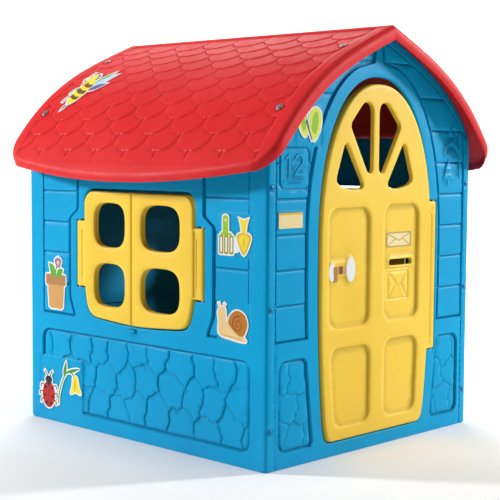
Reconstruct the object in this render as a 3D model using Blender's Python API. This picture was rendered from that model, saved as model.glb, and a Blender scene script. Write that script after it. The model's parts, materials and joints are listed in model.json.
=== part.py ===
"""A child's moulded plastic playhouse, in metres, +Z up.

The ground is z = 0 and the origin is the middle of the footprint. The door
gable faces -Y, the closed gable faces +Y, and a shuttered window opens in each
side wall. Four screwed wall panels carry a roof of two curved halves.

Each wall is drawn in its own frame: x runs to the right as seen from outside,
y is the depth inward from the wall's outer plane, and z is the height.
"""

import math

import bmesh
import bpy
from mathutils import Matrix, Vector

# Overall size
HALF_WIDTH = 0.4575  # outer plane of the side walls
HALF_DEPTH = 0.513  # outer plane of the gable walls
RIDGE_Z = 1.2
RAKE_Y = 0.569  # half length of the roof along the ridge
EAVE_X = 0.540  # half width of the roof, at the middle of the eave
EAVE_BOW = 0.092  # how much the eave draws in towards its ends, per metre squared

# Sheet and fits
SHEET = 0.003
GAP = 0.0003
POCKET = 0.007  # depth of the relief pressed into a wall
LIP = 0.0015  # depth of a board's proud lower edge

# Walls
RETURN = 0.030  # the side walls wrap this far round the corners
GABLE_HALF = HALF_WIDTH - RETURN - GAP  # the gable walls' outer face ends here
TONGUE = 0.0262  # width of a gable wall's edge that lies behind a return
CORNER_BAND = 0.055
BOARD_Z = 0.344  # lower edge of the lowest board
BOARD_PITCH = 0.0945
ZONE_BELOW = 0.010  # a board zone's outline reaches this far below its boards
STONE_LOW, STONE_HIGH = 0.042, 0.290
STONE_RADIUS = 0.030
GABLE_STONE_X, SIDE_STONE_X = 0.409, 0.452  # where the stone panels end
NUMBER_PLATE = (-0.413, -0.294, 0.744, 0.859)
BAND_WIDTH = 0.047  # flat band round the door opening
RAKE_RIM = 0.032  # flat strip along the sloping top of a gable wall
SIDE_TOP = 0.890

# Door
DOOR_HALF = 0.250
DOOR_LOW, DOOR_SPRING, DOOR_RISE = 0.042, 0.600, 0.437
DOOR_POWER = 2.2
DOOR_TAPER = 0.025  # the door narrows by this much on each side at its foot
DOOR_FRONT, DOOR_BACK = -0.007, 0.013
DOOR_CLEAR = 0.004
DOOR_TOP_CLEAR = 0.019
PANEL_SINK = 0.006
PANEL_CORNER = 0.035
PANELS = (
    (-0.215, -0.042, 0.359, 0.690),
    (0.030, 0.188, 0.362, 0.695),
    (-0.200, -0.035, 0.080, 0.300),
    (0.035, 0.188, 0.082, 0.303),
)  # each from one side to the other, and from foot to top
FAN_CENTRE = -0.0165  # the fan light is moulded a little left of the door's middle
SLOT_CENTRE = (0.110, 0.527)
SLOT_SIZE = (0.108, 0.018)

# Windows
LEAF_TOP, LEAF_LOW = 0.724, 0.337
LEAF_HALF = 0.237
LEAF_CORNER = 0.040
LEAF_SPLIT = 0.020  # the two leaves meet this far towards the back
LEAF_FRONT, LEAF_BACK = -0.006, 0.012
LEAF_CLEAR = 0.004
LEAF_TOP_CLEAR = 0.008
OPENING_OVERLAP = 0.030  # the cutters for the two halves of a window overlap by this much
LEAF_GAP = 0.0015
PANE_ROWS = ((0.384, 0.512), (0.560, 0.691))

# Hinges: a lobe on the leaf carries a barrel, and two pins hold it in the wall
HINGE_DEPTH = 0.004
BARREL = 0.007
PIN_RADIUS = 0.0025
PIN_BORE = 0.0030
PIN_SOCKET = 0.0028
PIN_IN_LEAF, PIN_IN_WALL = 0.024, 0.018
SOCKET_SIDE, SOCKET_HEIGHT, SOCKET_BACK = 0.008, 0.023, 0.0115
DOOR_HINGE_X = 0.275
DOOR_LOBE = (0.255, 0.700)
DOOR_LOBE_INNER = 0.236
LEAF_HINGE_X = 0.268
LEAF_LOBE = (0.436, 0.634)
LEAF_LOBE_INNER = 0.220
LOBE_SIDE_CLEAR = 0.0028

# Screws
CORNER_SCREW_X = HALF_WIDTH - 0.0165
CORNER_SCREW_HEIGHTS = (0.107, 0.431, 0.750)
SCREW_SHANK, SCREW_HOLE, SCREW_HEAD = 0.0022, 0.0025, 0.0070
SCREW_LENGTH = 0.014
BOSS_RADIUS, BOSS_LENGTH = 0.006, 0.010
ROOF_SCREW_XS = (0.150, 0.405)
ROOF_SCREW_Y = 0.503
ROOF_SCREW_HEAD, ROOF_SCREW_LENGTH = 0.0110, 0.022
ROOF_BLOCK_HALF, ROOF_BLOCK_HEIGHT = 0.0085, 0.038

# Roof
ROOF_SLOPE, ROOF_CURL, ROOF_POWER = 0.42, 1.87, 3.65
ROOF_RIM = 0.036
ROOF_CORNER = 0.065
EAVE_LIP = 0.016  # how far the eave turns down
RIDGE_FLANGE = 0.018
WALL_TOP_CLEAR = 0.0025

# Printed labels
STICKER_THICKNESS = 0.0006

ROUND = 10  # sides of a small turned piece

COLOURS = {
    "wall_blue": (0.005, 0.305, 0.650),
    "roof_red": (0.600, 0.020, 0.025),
    "door_yellow": (0.950, 0.560, 0.040),
    "screw_grey": (0.300, 0.310, 0.330),
    "pin_white": (0.700, 0.700, 0.680),
    "label_white": (0.850, 0.850, 0.820),
    "label_cream": (0.900, 0.830, 0.420),
    "label_grey": (0.420, 0.380, 0.250),
}
ROUGHNESS = {"screw_grey": 0.40, "pin_white": 0.35}


def clear_scene():
    for item in list(bpy.data.objects):
        bpy.data.objects.remove(item, do_unlink=True)


def material(name):
    found = bpy.data.materials.get(name)
    if found:
        return found
    made = bpy.data.materials.new(name)
    made.use_nodes = True
    shader = made.node_tree.nodes["Principled BSDF"]
    shader.inputs["Base Color"].default_value = (*COLOURS[name], 1.0)
    shader.inputs["Roughness"].default_value = ROUGHNESS.get(name, 0.45)
    shader.inputs["Metallic"].default_value = 0.0
    return made


# ---------------------------------------------------------------- outlines


def arc(cx, cz, radius, start, end, steps):
    """Points on an arc; the angles are in degrees."""
    points = []
    for i in range(steps + 1):
        angle = math.radians(start + (end - start) * i / steps)
        points.append((cx + radius * math.cos(angle), cz + radius * math.sin(angle)))
    return points


def rounded_box(x0, x1, z0, z1, radius, steps=4):
    corners = (
        (x1 - radius, z0 + radius, -90),
        (x1 - radius, z1 - radius, 0),
        (x0 + radius, z1 - radius, 90),
        (x0 + radius, z0 + radius, 180),
    )
    points = []
    for cx, cz, start in corners:
        points += arc(cx, cz, radius, start, start + 90, steps)
    return points


def box(x0, x1, z0, z1):
    return [(x0, z0), (x1, z0), (x1, z1), (x0, z1)]


def superellipse(x0, x1, z0, z1, power, steps=20):
    cx, cz = (x0 + x1) / 2, (z0 + z1) / 2
    points = []
    for i in range(steps):
        angle = 2 * math.pi * i / steps
        c, s = math.cos(angle), math.sin(angle)
        x = cx + (x1 - x0) / 2 * math.copysign(abs(c) ** (2 / power), c)
        z = cz + (z1 - z0) / 2 * math.copysign(abs(s) ** (2 / power), s)
        points.append((x, z))
    return points


def offset(outline, distance):
    """The counter-clockwise outline moved outward by the distance, with mitred corners."""
    count = len(outline)
    moved = []
    for i, point in enumerate(outline):
        before = Vector(point) - Vector(outline[i - 1])
        after = Vector(outline[(i + 1) % count]) - Vector(point)
        n0 = Vector((before.y, -before.x)).normalized()
        n1 = Vector((after.y, -after.x)).normalized()
        step = (n0 + n1) / max(1 + n0.dot(n1), 0.3)
        moved.append((point[0] + distance * step.x, point[1] + distance * step.y))
    return moved


def mirrored(outline):
    return [(-x, z) for x, z in reversed(outline)]


def roof_z(x):
    """Height of the roof's outer surface at x."""
    x = abs(x)
    return RIDGE_Z - ROOF_SLOPE * x - ROOF_CURL * x**ROOF_POWER


def roof_normal(x):
    """Outward unit normal of the roof at x, for the half on the side of x's sign."""
    slope = ROOF_SLOPE + ROOF_CURL * ROOF_POWER * abs(x) ** (ROOF_POWER - 1)
    return Vector((math.copysign(slope, x), 0, 1)).normalized()


def door_half_width(z):
    low = max(0.0, (0.5 - z) / 0.43)
    return DOOR_HALF - DOOR_TAPER * low * low


def door_outline(grow=0.0, top_grow=None, steps=18):
    """Outline of the arched door, counter-clockwise from its lower right corner."""
    top_grow = grow if top_grow is None else top_grow
    radius = 0.030 + grow
    foot = DOOR_LOW - grow
    half = door_half_width(foot) + grow
    points = arc(half - radius, foot + radius, radius, -90, 0, 4)
    for z in (0.16, 0.26, 0.36, 0.48):
        points.append((door_half_width(z) + grow, z))
    for i in range(steps + 1):
        angle = math.pi * i / steps
        c, s = math.cos(angle), math.sin(angle)
        x = (DOOR_HALF + grow) * math.copysign(abs(c) ** (2 / DOOR_POWER), c)
        z = DOOR_SPRING + (DOOR_RISE + top_grow) * abs(s) ** (2 / DOOR_POWER)
        points.append((x, z))
    left = [(-x, z) for x, z in reversed(points[:9])]
    return points + left


def gable_outline(half, drop, steps=10):
    """A gable panel's limit, from below the ground up to a line parallel to the roof, a drop below it."""
    points = [(half, -0.05)]
    for i in range(2 * steps + 1):
        x = half * (1 - i / steps)
        normal = roof_normal(x) if abs(x) > 1e-6 else Vector((0, 0, 1))
        points.append((x - normal.x * drop, roof_z(x) - normal.z * drop))
    points.append((-half, -0.05))
    return [(max(-half, min(half, x)), z) for x, z in points]


def leaf_bottom(y):
    return LEAF_LOW + 0.012 * (abs(y) / 0.197) ** 1.5


def leaf_outline(split, grow=0.0, top_grow=None):
    """One shutter leaf, counter-clockwise; its hinge side is +x and it reaches in to split."""
    top = LEAF_TOP + (grow if top_grow is None else top_grow)
    half = LEAF_HALF + grow
    points = [(x, leaf_bottom(x) - grow) for x in (split, 0.060, 0.120, 0.175)]
    points += [(0.200 + grow * 0.4, 0.3535 - grow), (0.218 + grow * 0.8, 0.370 - grow * 0.6)]
    points += [(0.2285 + grow, 0.400), (0.2345 + grow, 0.437)]
    points += arc(half - LEAF_CORNER, top - LEAF_CORNER, LEAF_CORNER, 0, 90, 5)
    points.append((split, top))
    return points


# ------------------------------------------------------------------ solids


def new_object(name, mesh, paint):
    thing = bpy.data.objects.new(name, mesh)
    bpy.context.scene.collection.objects.link(thing)
    mesh.materials.append(material(paint))
    return thing


def mesh_of(name, vertices, faces):
    build = bmesh.new()
    made = [build.verts.new(v) for v in vertices]
    for face in faces:
        build.faces.new([made[i] for i in face])
    bmesh.ops.recalc_face_normals(build, faces=build.faces)
    mesh = bpy.data.meshes.new(name)
    build.to_mesh(mesh)
    build.free()
    return mesh


def prism(name, outline, near, far, paint="wall_blue", axis="y"):
    """A solid of constant outline: in x and z along y, in x and y along z, or in y and z along x."""

    def place(a, b, along):
        return {"y": (a, along, b), "z": (a, b, along), "x": (along, a, b)}[axis]

    count = len(outline)
    vertices = [place(a, b, near) for a, b in outline]
    vertices += [place(a, b, far) for a, b in outline]
    faces = [tuple(range(count)), tuple(range(2 * count - 1, count - 1, -1))]
    for i in range(count):
        j = (i + 1) % count
        faces.append((i, j, count + j, count + i))
    return new_object(name, mesh_of(name, vertices, faces), paint)


def turned(name, profile, paint, sides=ROUND):
    """A closed solid turned about z from (radius, z) points that start and end on the axis."""
    vertices = [(0, 0, profile[0][1])]
    rings = []
    for radius, z in profile[1:-1]:
        rings.append(len(vertices))
        for k in range(sides):
            angle = 2 * math.pi * k / sides
            vertices.append((radius * math.cos(angle), radius * math.sin(angle), z))
    last = len(vertices)
    vertices.append((0, 0, profile[-1][1]))
    faces = []
    for k in range(sides):
        j = (k + 1) % sides
        faces.append((0, rings[0] + k, rings[0] + j))
        faces.append((last, rings[-1] + j, rings[-1] + k))
        for a, b in zip(rings, rings[1:]):
            faces.append((a + k, b + k, b + j, a + j))
    made = new_object(name, mesh_of(name, vertices, faces), paint)
    made.data.shade_smooth()
    made.data.set_sharp_from_angle(angle=math.radians(40))
    return made


def rod(name, radius, start, end, paint="wall_blue", sides=ROUND):
    """A straight round bar between two points, with its own axis along z."""
    start, end = Vector(start), Vector(end)
    length = (end - start).length
    profile = [(0, 0), (radius, 0), (radius, length), (0, length)]
    made = turned(name, profile, paint, sides)
    made.matrix_world = Matrix.Translation(start) @ (end - start).to_track_quat("Z", "Y").to_matrix().to_4x4()
    return made


def hide(tool):
    tool.hide_render = True
    tool.display_type = "WIRE"
    return tool


def boolean(target, tool, operation):
    modifier = target.modifiers.new(f"{operation.lower()} {tool.name}", "BOOLEAN")
    modifier.operation = operation
    modifier.solver = "EXACT"
    modifier.object = hide(tool)
    return target


def cut(target, tool):
    return boolean(target, tool, "DIFFERENCE")


def join(target, tool):
    return boolean(target, tool, "UNION")


def put(things, place):
    """Moves things drawn in a wall's frame to that wall's place in the house."""
    location, turn = place
    frame = Matrix.Translation(location) @ Matrix.Rotation(math.radians(turn), 4, "Z")
    for thing in things:
        thing.matrix_world = frame @ thing.matrix_world


def set_origin(thing, point):
    """Moves the object's origin to a point of its own frame, and leaves its shape where it is."""
    point = Vector(point)
    thing.data.transform(Matrix.Translation(-point))
    thing.matrix_world = thing.matrix_world @ Matrix.Translation(point)


PLACES = {
    "front": ((0, -HALF_DEPTH, 0), 0),
    "rear": ((0, HALF_DEPTH, 0), 180),
    "left": ((-HALF_WIDTH, 0, 0), -90),
    "right": ((HALF_WIDTH, 0, 0), 90),
}


# ------------------------------------------------------------------- walls


def board_teeth(low, high, behind):
    """The lapped boards' section, as (depth, height): their face, or their back a sheet behind it."""
    shift = SHEET if behind else 0.0
    front = LIP - 0.001 if behind else -0.001
    points = [(front, low - shift), (LIP + shift, low - shift)]
    z = low
    while z < high - 1e-6:
        z = min(z + BOARD_PITCH, high)
        points.append((POCKET + shift, z + shift))
        points.append((LIP + shift, z + shift))
    points[-1] = (front, high + shift)
    return points


def press_boards(wall, name, zone, low, high):
    """Presses lapped boards into the wall inside the zone, at the sheet's thickness."""
    reach = max(abs(x) for x, _ in zone) + 0.01
    for part, behind, work in (("back", True, join), ("face", False, cut)):
        teeth = prism(f"{name}_{part}_teeth", board_teeth(low, high, behind), -reach, reach, axis="x")
        edge = offset(zone, SHEET) if behind else zone
        limit = prism(f"{name}_{part}_limit", edge, -0.01, 0.03)
        boolean(teeth, limit, "INTERSECT")
        work(wall, teeth)
        yield from (teeth, limit)


def press_pocket(wall, name, outline, depth, front=0.0):
    """Presses a flat pocket into a sheet whose face is at front, at the sheet's thickness."""
    back = prism(f"{name}_back", offset(outline, SHEET), front + 0.001, front + depth + SHEET)
    face = prism(f"{name}_face", outline, front - 0.001, front + depth)
    join(wall, back)
    cut(wall, face)
    yield from (back, face)


def gable_plan(half, tongue):
    """Section across a gable wall: flat, with its two edges stepped in behind the returns."""
    inner = SHEET + 0.0005
    edge = half + tongue
    right = [
        (half, 0.0),
        (half, inner),
        (edge, inner),
        (edge, inner + SHEET),
        (half - 0.006, inner + SHEET),
        (half - 0.006, SHEET),
    ]
    return right + [(-x, y) for x, y in reversed(right)]


def door_zone(side):
    """The board zone beside the door band, as an outline on the +x side."""
    outer = GABLE_HALF - SHEET - 0.0005
    points = [(outer, BOARD_Z - ZONE_BELOW), (outer, roof_z(outer) - RAKE_RIM)]
    for i in range(1, 12):
        x = outer + (0.100 - outer) * i / 11
        points.append((x, roof_z(x) - RAKE_RIM))
    arch = []
    for i in range(12):
        z = 1.045 + (BOARD_Z - ZONE_BELOW - 1.045) * i / 11
        if z > DOOR_SPRING:
            rise = (z - DOOR_SPRING) / (DOOR_RISE + BAND_WIDTH + 0.012)
            half = (DOOR_HALF + BAND_WIDTH) * (1 - rise**DOOR_POWER) ** (1 / DOOR_POWER)
        else:
            half = door_half_width(z) + BAND_WIDTH
        arch.append((half, z))
    points += [p for p in arch if p[1] < roof_z(p[0]) - RAKE_RIM - 0.012]
    return points if side > 0 else mirrored(points)


def make_gable_base(name):
    wall = prism(name, gable_plan(GABLE_HALF, TONGUE), 0.0, RIDGE_Z, axis="z")
    top = gable_outline(GABLE_HALF + TONGUE + 0.01, SHEET + WALL_TOP_CLEAR)
    limit = prism(f"{name}_gable_limit", top, -0.02, 0.05)
    return wall, limit


def add_corner_bosses(wall, name):
    """Bosses and holes for the corner screws, behind the two tongues."""
    tools = []
    start = SHEET + 0.002
    for side in (-1, 1):
        for i, z in enumerate(CORNER_SCREW_HEIGHTS):
            x = side * CORNER_SCREW_X
            boss = rod(f"{name}_boss_{side}_{i}", BOSS_RADIUS, (x, start, z), (x, start + BOSS_LENGTH, z))
            hole = rod(f"{name}_hole_{side}_{i}", SCREW_HOLE, (x, -0.01, z), (x, 0.04, z))
            join(wall, boss)
            cut(wall, hole)
            tools += [boss, hole]
    return tools


def add_roof_bosses(wall, name):
    """Blocks under the roof for its screws, on the wall's inner face, bored square to the roof."""
    tools = []
    depth = HALF_DEPTH - ROOF_SCREW_Y
    for side in (-1, 1):
        for i, x in enumerate(ROOF_SCREW_XS):
            x *= side
            normal = roof_normal(x)
            top = roof_z(x)
            half = ROOF_BLOCK_HALF
            edge = box(x - half, x + half, top - ROOF_BLOCK_HEIGHT, top + 0.012)
            block = prism(f"{name}_block_{side}_{i}", edge, depth - half, depth + half)
            centre = Vector((x, depth, top))
            start, end = centre + normal * 0.01, centre - normal * 0.06
            hole = rod(f"{name}_block_hole_{side}_{i}", SCREW_HOLE, start, end)
            join(wall, block)
            cut(wall, hole)
            tools += [block, hole]
    return tools


def make_front_wall():
    wall, limit = make_gable_base("front_wall")
    tools = [limit]
    for side, word in ((-1, "left"), (1, "right")):
        tools += press_boards(wall, f"front_boards_{word}", door_zone(side), BOARD_Z, RIDGE_Z)
        inner = door_half_width(STONE_LOW) + BAND_WIDTH
        upper = door_half_width(STONE_HIGH) + BAND_WIDTH + 0.012
        turn_x = GABLE_STONE_X - STONE_RADIUS
        stone = [(inner, STONE_LOW)]
        stone += arc(turn_x, STONE_LOW + STONE_RADIUS, STONE_RADIUS, -90, 0, 4)
        stone += arc(turn_x, STONE_HIGH - STONE_RADIUS, STONE_RADIUS, 0, 90, 4)
        stone += [(upper + 0.010, STONE_HIGH), (upper, STONE_HIGH - 0.010), (inner, STONE_LOW + 0.02)]
        stone = stone if side > 0 else mirrored(stone)
        tools += press_pocket(wall, f"front_stone_{word}", stone, POCKET)
    plate_edge = offset(box(*NUMBER_PLATE), -0.0005)
    plate = prism("number_plate", plate_edge, 0.0005, POCKET + 0.001)
    join(wall, plate)
    tools.append(plate)
    lobe_edge = DOOR_HINGE_X + BARREL + LOBE_SIDE_CLEAR
    lobe = box(0.200, lobe_edge, DOOR_LOBE[0] - DOOR_CLEAR, DOOR_LOBE[1] + DOOR_CLEAR)
    for low in (DOOR_LOBE[0] - DOOR_CLEAR - SOCKET_HEIGHT, DOOR_LOBE[1] + DOOR_CLEAR - 0.001):
        left, right = DOOR_HINGE_X - SOCKET_SIDE, DOOR_HINGE_X + SOCKET_SIDE
        reach = box(left, right, low, low + SOCKET_HEIGHT + 0.001)
        block = prism(f"door_socket_{low:.2f}", reach, LIP, SOCKET_BACK)
        join(wall, block)
        tools.append(block)
    opening = prism("door_opening", door_outline(DOOR_CLEAR, DOOR_TOP_CLEAR), -0.03, 0.06)
    notch = prism("door_lobe_notch", lobe, -0.03, 0.06)
    socket_bore = rod(
        "door_socket_bore",
        PIN_SOCKET,
        (DOOR_HINGE_X, HINGE_DEPTH, DOOR_LOBE[0] - DOOR_CLEAR - PIN_IN_WALL - 0.001),
        (DOOR_HINGE_X, HINGE_DEPTH, DOOR_LOBE[1] + DOOR_CLEAR + PIN_IN_WALL + 0.001),
    )
    tools += add_corner_bosses(wall, "front_wall")
    tools += add_roof_bosses(wall, "front_wall")
    for tool in (opening, notch, socket_bore, clearance_for_ridge("front")):
        cut(wall, tool)
        tools.append(tool)
    boolean(wall, limit, "INTERSECT")
    put([wall] + tools, PLACES["front"])


def clearance_for_ridge(name):
    """Room at the top of a gable for the flanges that close the ridge."""
    half = SHEET + GAP + 0.002
    room = box(-half, half, RIDGE_Z - RIDGE_FLANGE - 0.006, RIDGE_Z + 0.02)
    return prism(f"{name}_ridge_room", room, -0.03, 0.06)


def make_rear_wall():
    wall, limit = make_gable_base("rear_wall")
    tools = [limit]
    half = GABLE_HALF - SHEET - 0.0005
    zone = [(-half, BOARD_Z - ZONE_BELOW), (half, BOARD_Z - ZONE_BELOW)]
    for i in range(21):
        x = half * (1 - i / 10)
        zone.append((x, roof_z(x) - RAKE_RIM))
    tools += press_boards(wall, "rear_boards", zone, BOARD_Z, RIDGE_Z)
    stone = rounded_box(-GABLE_STONE_X, GABLE_STONE_X, STONE_LOW, STONE_HIGH, STONE_RADIUS)
    tools += press_pocket(wall, "rear_stone", stone, POCKET)
    tools += add_corner_bosses(wall, "rear_wall")
    tools += add_roof_bosses(wall, "rear_wall")
    room = clearance_for_ridge("rear")
    cut(wall, room)
    boolean(wall, limit, "INTERSECT")
    put([wall, room] + tools, PLACES["rear"])


def side_plan():
    """Section across a side wall: flat, with its two edges turned round the corners."""
    half = HALF_DEPTH
    right = [(half, 0.0), (half, RETURN), (half - SHEET, RETURN), (half - SHEET, SHEET)]
    return right + [(-x, y) for x, y in reversed(right)]


def side_zone():
    """The board zone between the window band and the corner band, on the +x side."""
    outer = HALF_DEPTH - CORNER_BAND - 0.012
    return [
        (0.285, BOARD_Z - ZONE_BELOW),
        (outer, BOARD_Z - ZONE_BELOW),
        (outer, SIDE_TOP - 0.02),
        (0.268, SIDE_TOP - 0.02),
        (0.270, 0.668),
        (0.309, 0.640),
        (0.309, 0.400),
    ]


def make_side_wall(name):
    wall = prism(name, side_plan(), 0.0, SIDE_TOP, axis="z")
    tools = []
    for word, zone in (("a", side_zone()), ("b", mirrored(side_zone()))):
        tools += press_boards(wall, f"{name}_boards_{word}", zone, BOARD_Z, SIDE_TOP)
    stone = rounded_box(-SIDE_STONE_X, SIDE_STONE_X, STONE_LOW, STONE_HIGH, STONE_RADIUS)
    tools += press_pocket(wall, f"{name}_stone", stone, POCKET)
    flip = -1 if name == "left_wall" else 1
    for side in (-1, 1):
        leaf = leaf_outline(-OPENING_OVERLAP, LEAF_CLEAR, LEAF_TOP_CLEAR)
        leaf = leaf if side > 0 else mirrored(leaf)
        opening = prism(f"{name}_opening_{side}", leaf, -0.03, 0.06)
        lobe_edge = LEAF_HINGE_X + BARREL + LOBE_SIDE_CLEAR
        lobe = box(0.18, lobe_edge, LEAF_LOBE[0] - LEAF_CLEAR, LEAF_LOBE[1] + LEAF_CLEAR)
        lobe = lobe if side > 0 else mirrored(lobe)
        notch = prism(f"{name}_notch_{side}", lobe, -0.03, 0.06)
        x = side * LEAF_HINGE_X
        for low in (LEAF_LOBE[0] - LEAF_CLEAR - SOCKET_HEIGHT, LEAF_LOBE[1] + LEAF_CLEAR - 0.001):
            reach = box(x - SOCKET_SIDE, x + SOCKET_SIDE, low, low + SOCKET_HEIGHT + 0.001)
            block = prism(f"{name}_socket_{side}_{low:.2f}", reach, LIP, SOCKET_BACK)
            join(wall, block)
            tools.append(block)
        bore = rod(
            f"{name}_socket_bore_{side}",
            PIN_SOCKET,
            (x, HINGE_DEPTH, LEAF_LOBE[0] - LEAF_CLEAR - PIN_IN_WALL - 0.001),
            (x, HINGE_DEPTH, LEAF_LOBE[1] + LEAF_CLEAR + PIN_IN_WALL + 0.001),
        )
        for tool in (opening, notch, bore):
            cut(wall, tool)
            tools.append(tool)
        for i, z in enumerate(CORNER_SCREW_HEIGHTS):
            depth = HALF_WIDTH - CORNER_SCREW_X
            hole = rod(
                f"{name}_screw_hole_{side}_{i}",
                SCREW_HOLE,
                (side * (HALF_DEPTH + 0.01), depth, z),
                (side * (HALF_DEPTH - 0.02), depth, z),
            )
            cut(wall, hole)
            tools.append(hole)
    catch_x = flip * LEAF_SPLIT
    catch = prism(f"{name}_catch", box(catch_x - 0.012, catch_x + 0.012, 0.318, 0.3285), -0.006, 0.002)
    join(wall, catch)
    tools.append(catch)
    put([wall] + tools, PLACES[name.split("_")[0]])


# ---------------------------------------------------------------- leaves


def lobe_plan(inner, hinge_x):
    """Section across a hinge lobe: flat sides, with the barrel rounding its outer edge."""
    low, high = HINGE_DEPTH - BARREL, HINGE_DEPTH + BARREL
    return [(inner, low)] + arc(hinge_x, HINGE_DEPTH, BARREL, -90, 90, 8) + [(inner, high)]


def add_lobe(leaf, name, side, inner, hinge_x, heights):
    """Joins a hinge lobe to a leaf and bores it for the two pins."""
    plan = lobe_plan(inner, hinge_x)
    plan = plan if side > 0 else mirrored(plan)
    lobe = prism(f"{name}_lobe", plan, heights[0], heights[1], axis="z")
    join(leaf, lobe)
    tools = [lobe]
    for word, z, way in (("low", heights[0], 1), ("high", heights[1], -1)):
        start = (side * hinge_x, HINGE_DEPTH, z - way * 0.01)
        end = (side * hinge_x, HINGE_DEPTH, z + way * (PIN_IN_LEAF + 0.002))
        bore = rod(f"{name}_bore_{word}", PIN_BORE, start, end)
        cut(leaf, bore)
        tools.append(bore)
    groove_x = side * (hinge_x - 0.020)
    groove = box(groove_x - 0.001, groove_x + 0.001, heights[0] + 0.045, heights[1] - 0.045)
    groove = prism(f"{name}_groove", groove, -0.02, HINGE_DEPTH - BARREL + 0.0015)
    cut(leaf, groove)
    return tools + [groove]


def make_pins(prefix, place, hinge_x, heights, clear):
    """The two pins that hold a leaf in its wall."""
    for word, z, way in (("lower", heights[0], 1), ("upper", heights[1], -1)):
        start = (hinge_x, HINGE_DEPTH, z - way * (clear + PIN_IN_WALL))
        end = (hinge_x, HINGE_DEPTH, z + way * PIN_IN_LEAF)
        put([rod(f"{prefix}_hinge_pin_{word}", PIN_RADIUS, start, end, "pin_white")], place)


def fan_openings():
    """The four openings of the door's fan light, the two on the left and their mirror images."""
    inner = [
        (-0.030, 0.795),
        (-0.030, 0.962),
        (-0.037, 0.978),
        (-0.052, 0.985),
        (-0.070, 0.983),
        (-0.083, 0.972),
        (-0.126, 0.926),
        (-0.127, 0.912),
        (-0.054, 0.788),
        (-0.040, 0.784),
    ]
    outer = [
        (-0.072, 0.758),
        (-0.140, 0.866),
        (-0.148, 0.870),
        (-0.156, 0.862),
        (-0.188, 0.775),
        (-0.187, 0.762),
        (-0.165, 0.749),
        (-0.125, 0.741),
        (-0.084, 0.742),
        (-0.074, 0.747),
    ]
    left = [inner, outer]
    return left + [[(2 * FAN_CENTRE + x, z) for x, z in mirrored(o)] for o in left]


def slot_outline(grow=0.0):
    (cx, cz), (length, height) = SLOT_CENTRE, SLOT_SIZE
    radius = height / 2 + grow
    inner = length / 2 - height / 2
    right = arc(cx + inner, cz, radius, -90, 90, 6)
    return right + arc(cx - inner, cz, radius, 90, 270, 6)


def make_door():
    leaf = prism("door_leaf", door_outline(), DOOR_FRONT, DOOR_BACK, "door_yellow")
    tools = []
    hollow = prism("door_hollow", offset(door_outline(), -SHEET), DOOR_FRONT + SHEET, DOOR_BACK + 0.01)
    openings = fan_openings() + [slot_outline()]
    for i, outline in enumerate(openings):
        wall = prism(f"door_hollow_keep_{i}", offset(outline, SHEET), -0.03, 0.05)
        cut(hollow, wall)
        tools.append(wall)
    cut(leaf, hollow)
    tools.append(hollow)
    for i, (x0, x1, z0, z1) in enumerate(PANELS):
        outline = rounded_box(x0, x1, z0, z1, PANEL_CORNER)
        tools += press_pocket(leaf, f"door_panel_{i}", outline, PANEL_SINK, DOOR_FRONT)
    for i, outline in enumerate(openings):
        hole = prism(f"door_hole_{i}", outline, -0.03, 0.05)
        cut(leaf, hole)
        tools.append(hole)
    tools += add_lobe(leaf, "door", 1, DOOR_LOBE_INNER, DOOR_HINGE_X, DOOR_LOBE)
    set_origin(leaf, (DOOR_HINGE_X, HINGE_DEPTH, 0))
    put([leaf] + tools, PLACES["front"])
    make_pins("door", PLACES["front"], DOOR_HINGE_X, DOOR_LOBE, DOOR_CLEAR)


def make_shutter(wall, word):
    """One shutter leaf; the leaves of the two walls mirror each other."""
    name = f"{wall}_shutter_{word}"
    # In the left wall's frame +x points to the front of the house, and in the right wall's to the back.
    side = 1 if (wall == "left") == (word == "front") else -1
    split = (-LEAF_SPLIT if word == "front" else LEAF_SPLIT) + LEAF_GAP / 2
    panes = (-LEAF_SPLIT + 0.040, 0.182) if word == "front" else (0.052, 0.190)
    flip = (lambda outline: outline) if side > 0 else mirrored
    outline = leaf_outline(split)
    leaf = prism(name, flip(outline), LEAF_FRONT, LEAF_BACK, "door_yellow")
    hollow = prism(f"{name}_hollow", flip(offset(outline, -SHEET)), LEAF_FRONT + SHEET, LEAF_BACK + 0.01)
    tools = [hollow]
    for i, (low, high) in enumerate(PANE_ROWS):
        pane = superellipse(*panes, low, high, 3.2)
        keep = prism(f"{name}_keep_{i}", flip(offset(pane, SHEET)), -0.03, 0.05)
        cut(hollow, keep)
        tools.append(keep)
    cut(leaf, hollow)
    for i, (low, high) in enumerate(PANE_ROWS):
        hole = prism(f"{name}_pane_{i}", flip(superellipse(*panes, low, high, 3.2)), -0.03, 0.05)
        cut(leaf, hole)
        tools.append(hole)
    tools += add_lobe(leaf, name, side, LEAF_LOBE_INNER, LEAF_HINGE_X, LEAF_LOBE)
    set_origin(leaf, (side * LEAF_HINGE_X, HINGE_DEPTH, 0))
    put([leaf] + tools, PLACES[wall])
    make_pins(name, PLACES[wall], side * LEAF_HINGE_X, LEAF_LOBE, LEAF_CLEAR)


# -------------------------------------------------------------------- roof


def eave_x(y):
    """Half width of the roof at y, drawn in towards the ends and rounded at the corners."""
    edge = EAVE_X - EAVE_BOW * y * y
    inset = abs(y) - (RAKE_Y - ROOF_CORNER)
    if inset > 0:
        edge -= ROOF_CORNER - math.sqrt(max(ROOF_CORNER**2 - inset**2, 0))
    return edge


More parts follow.
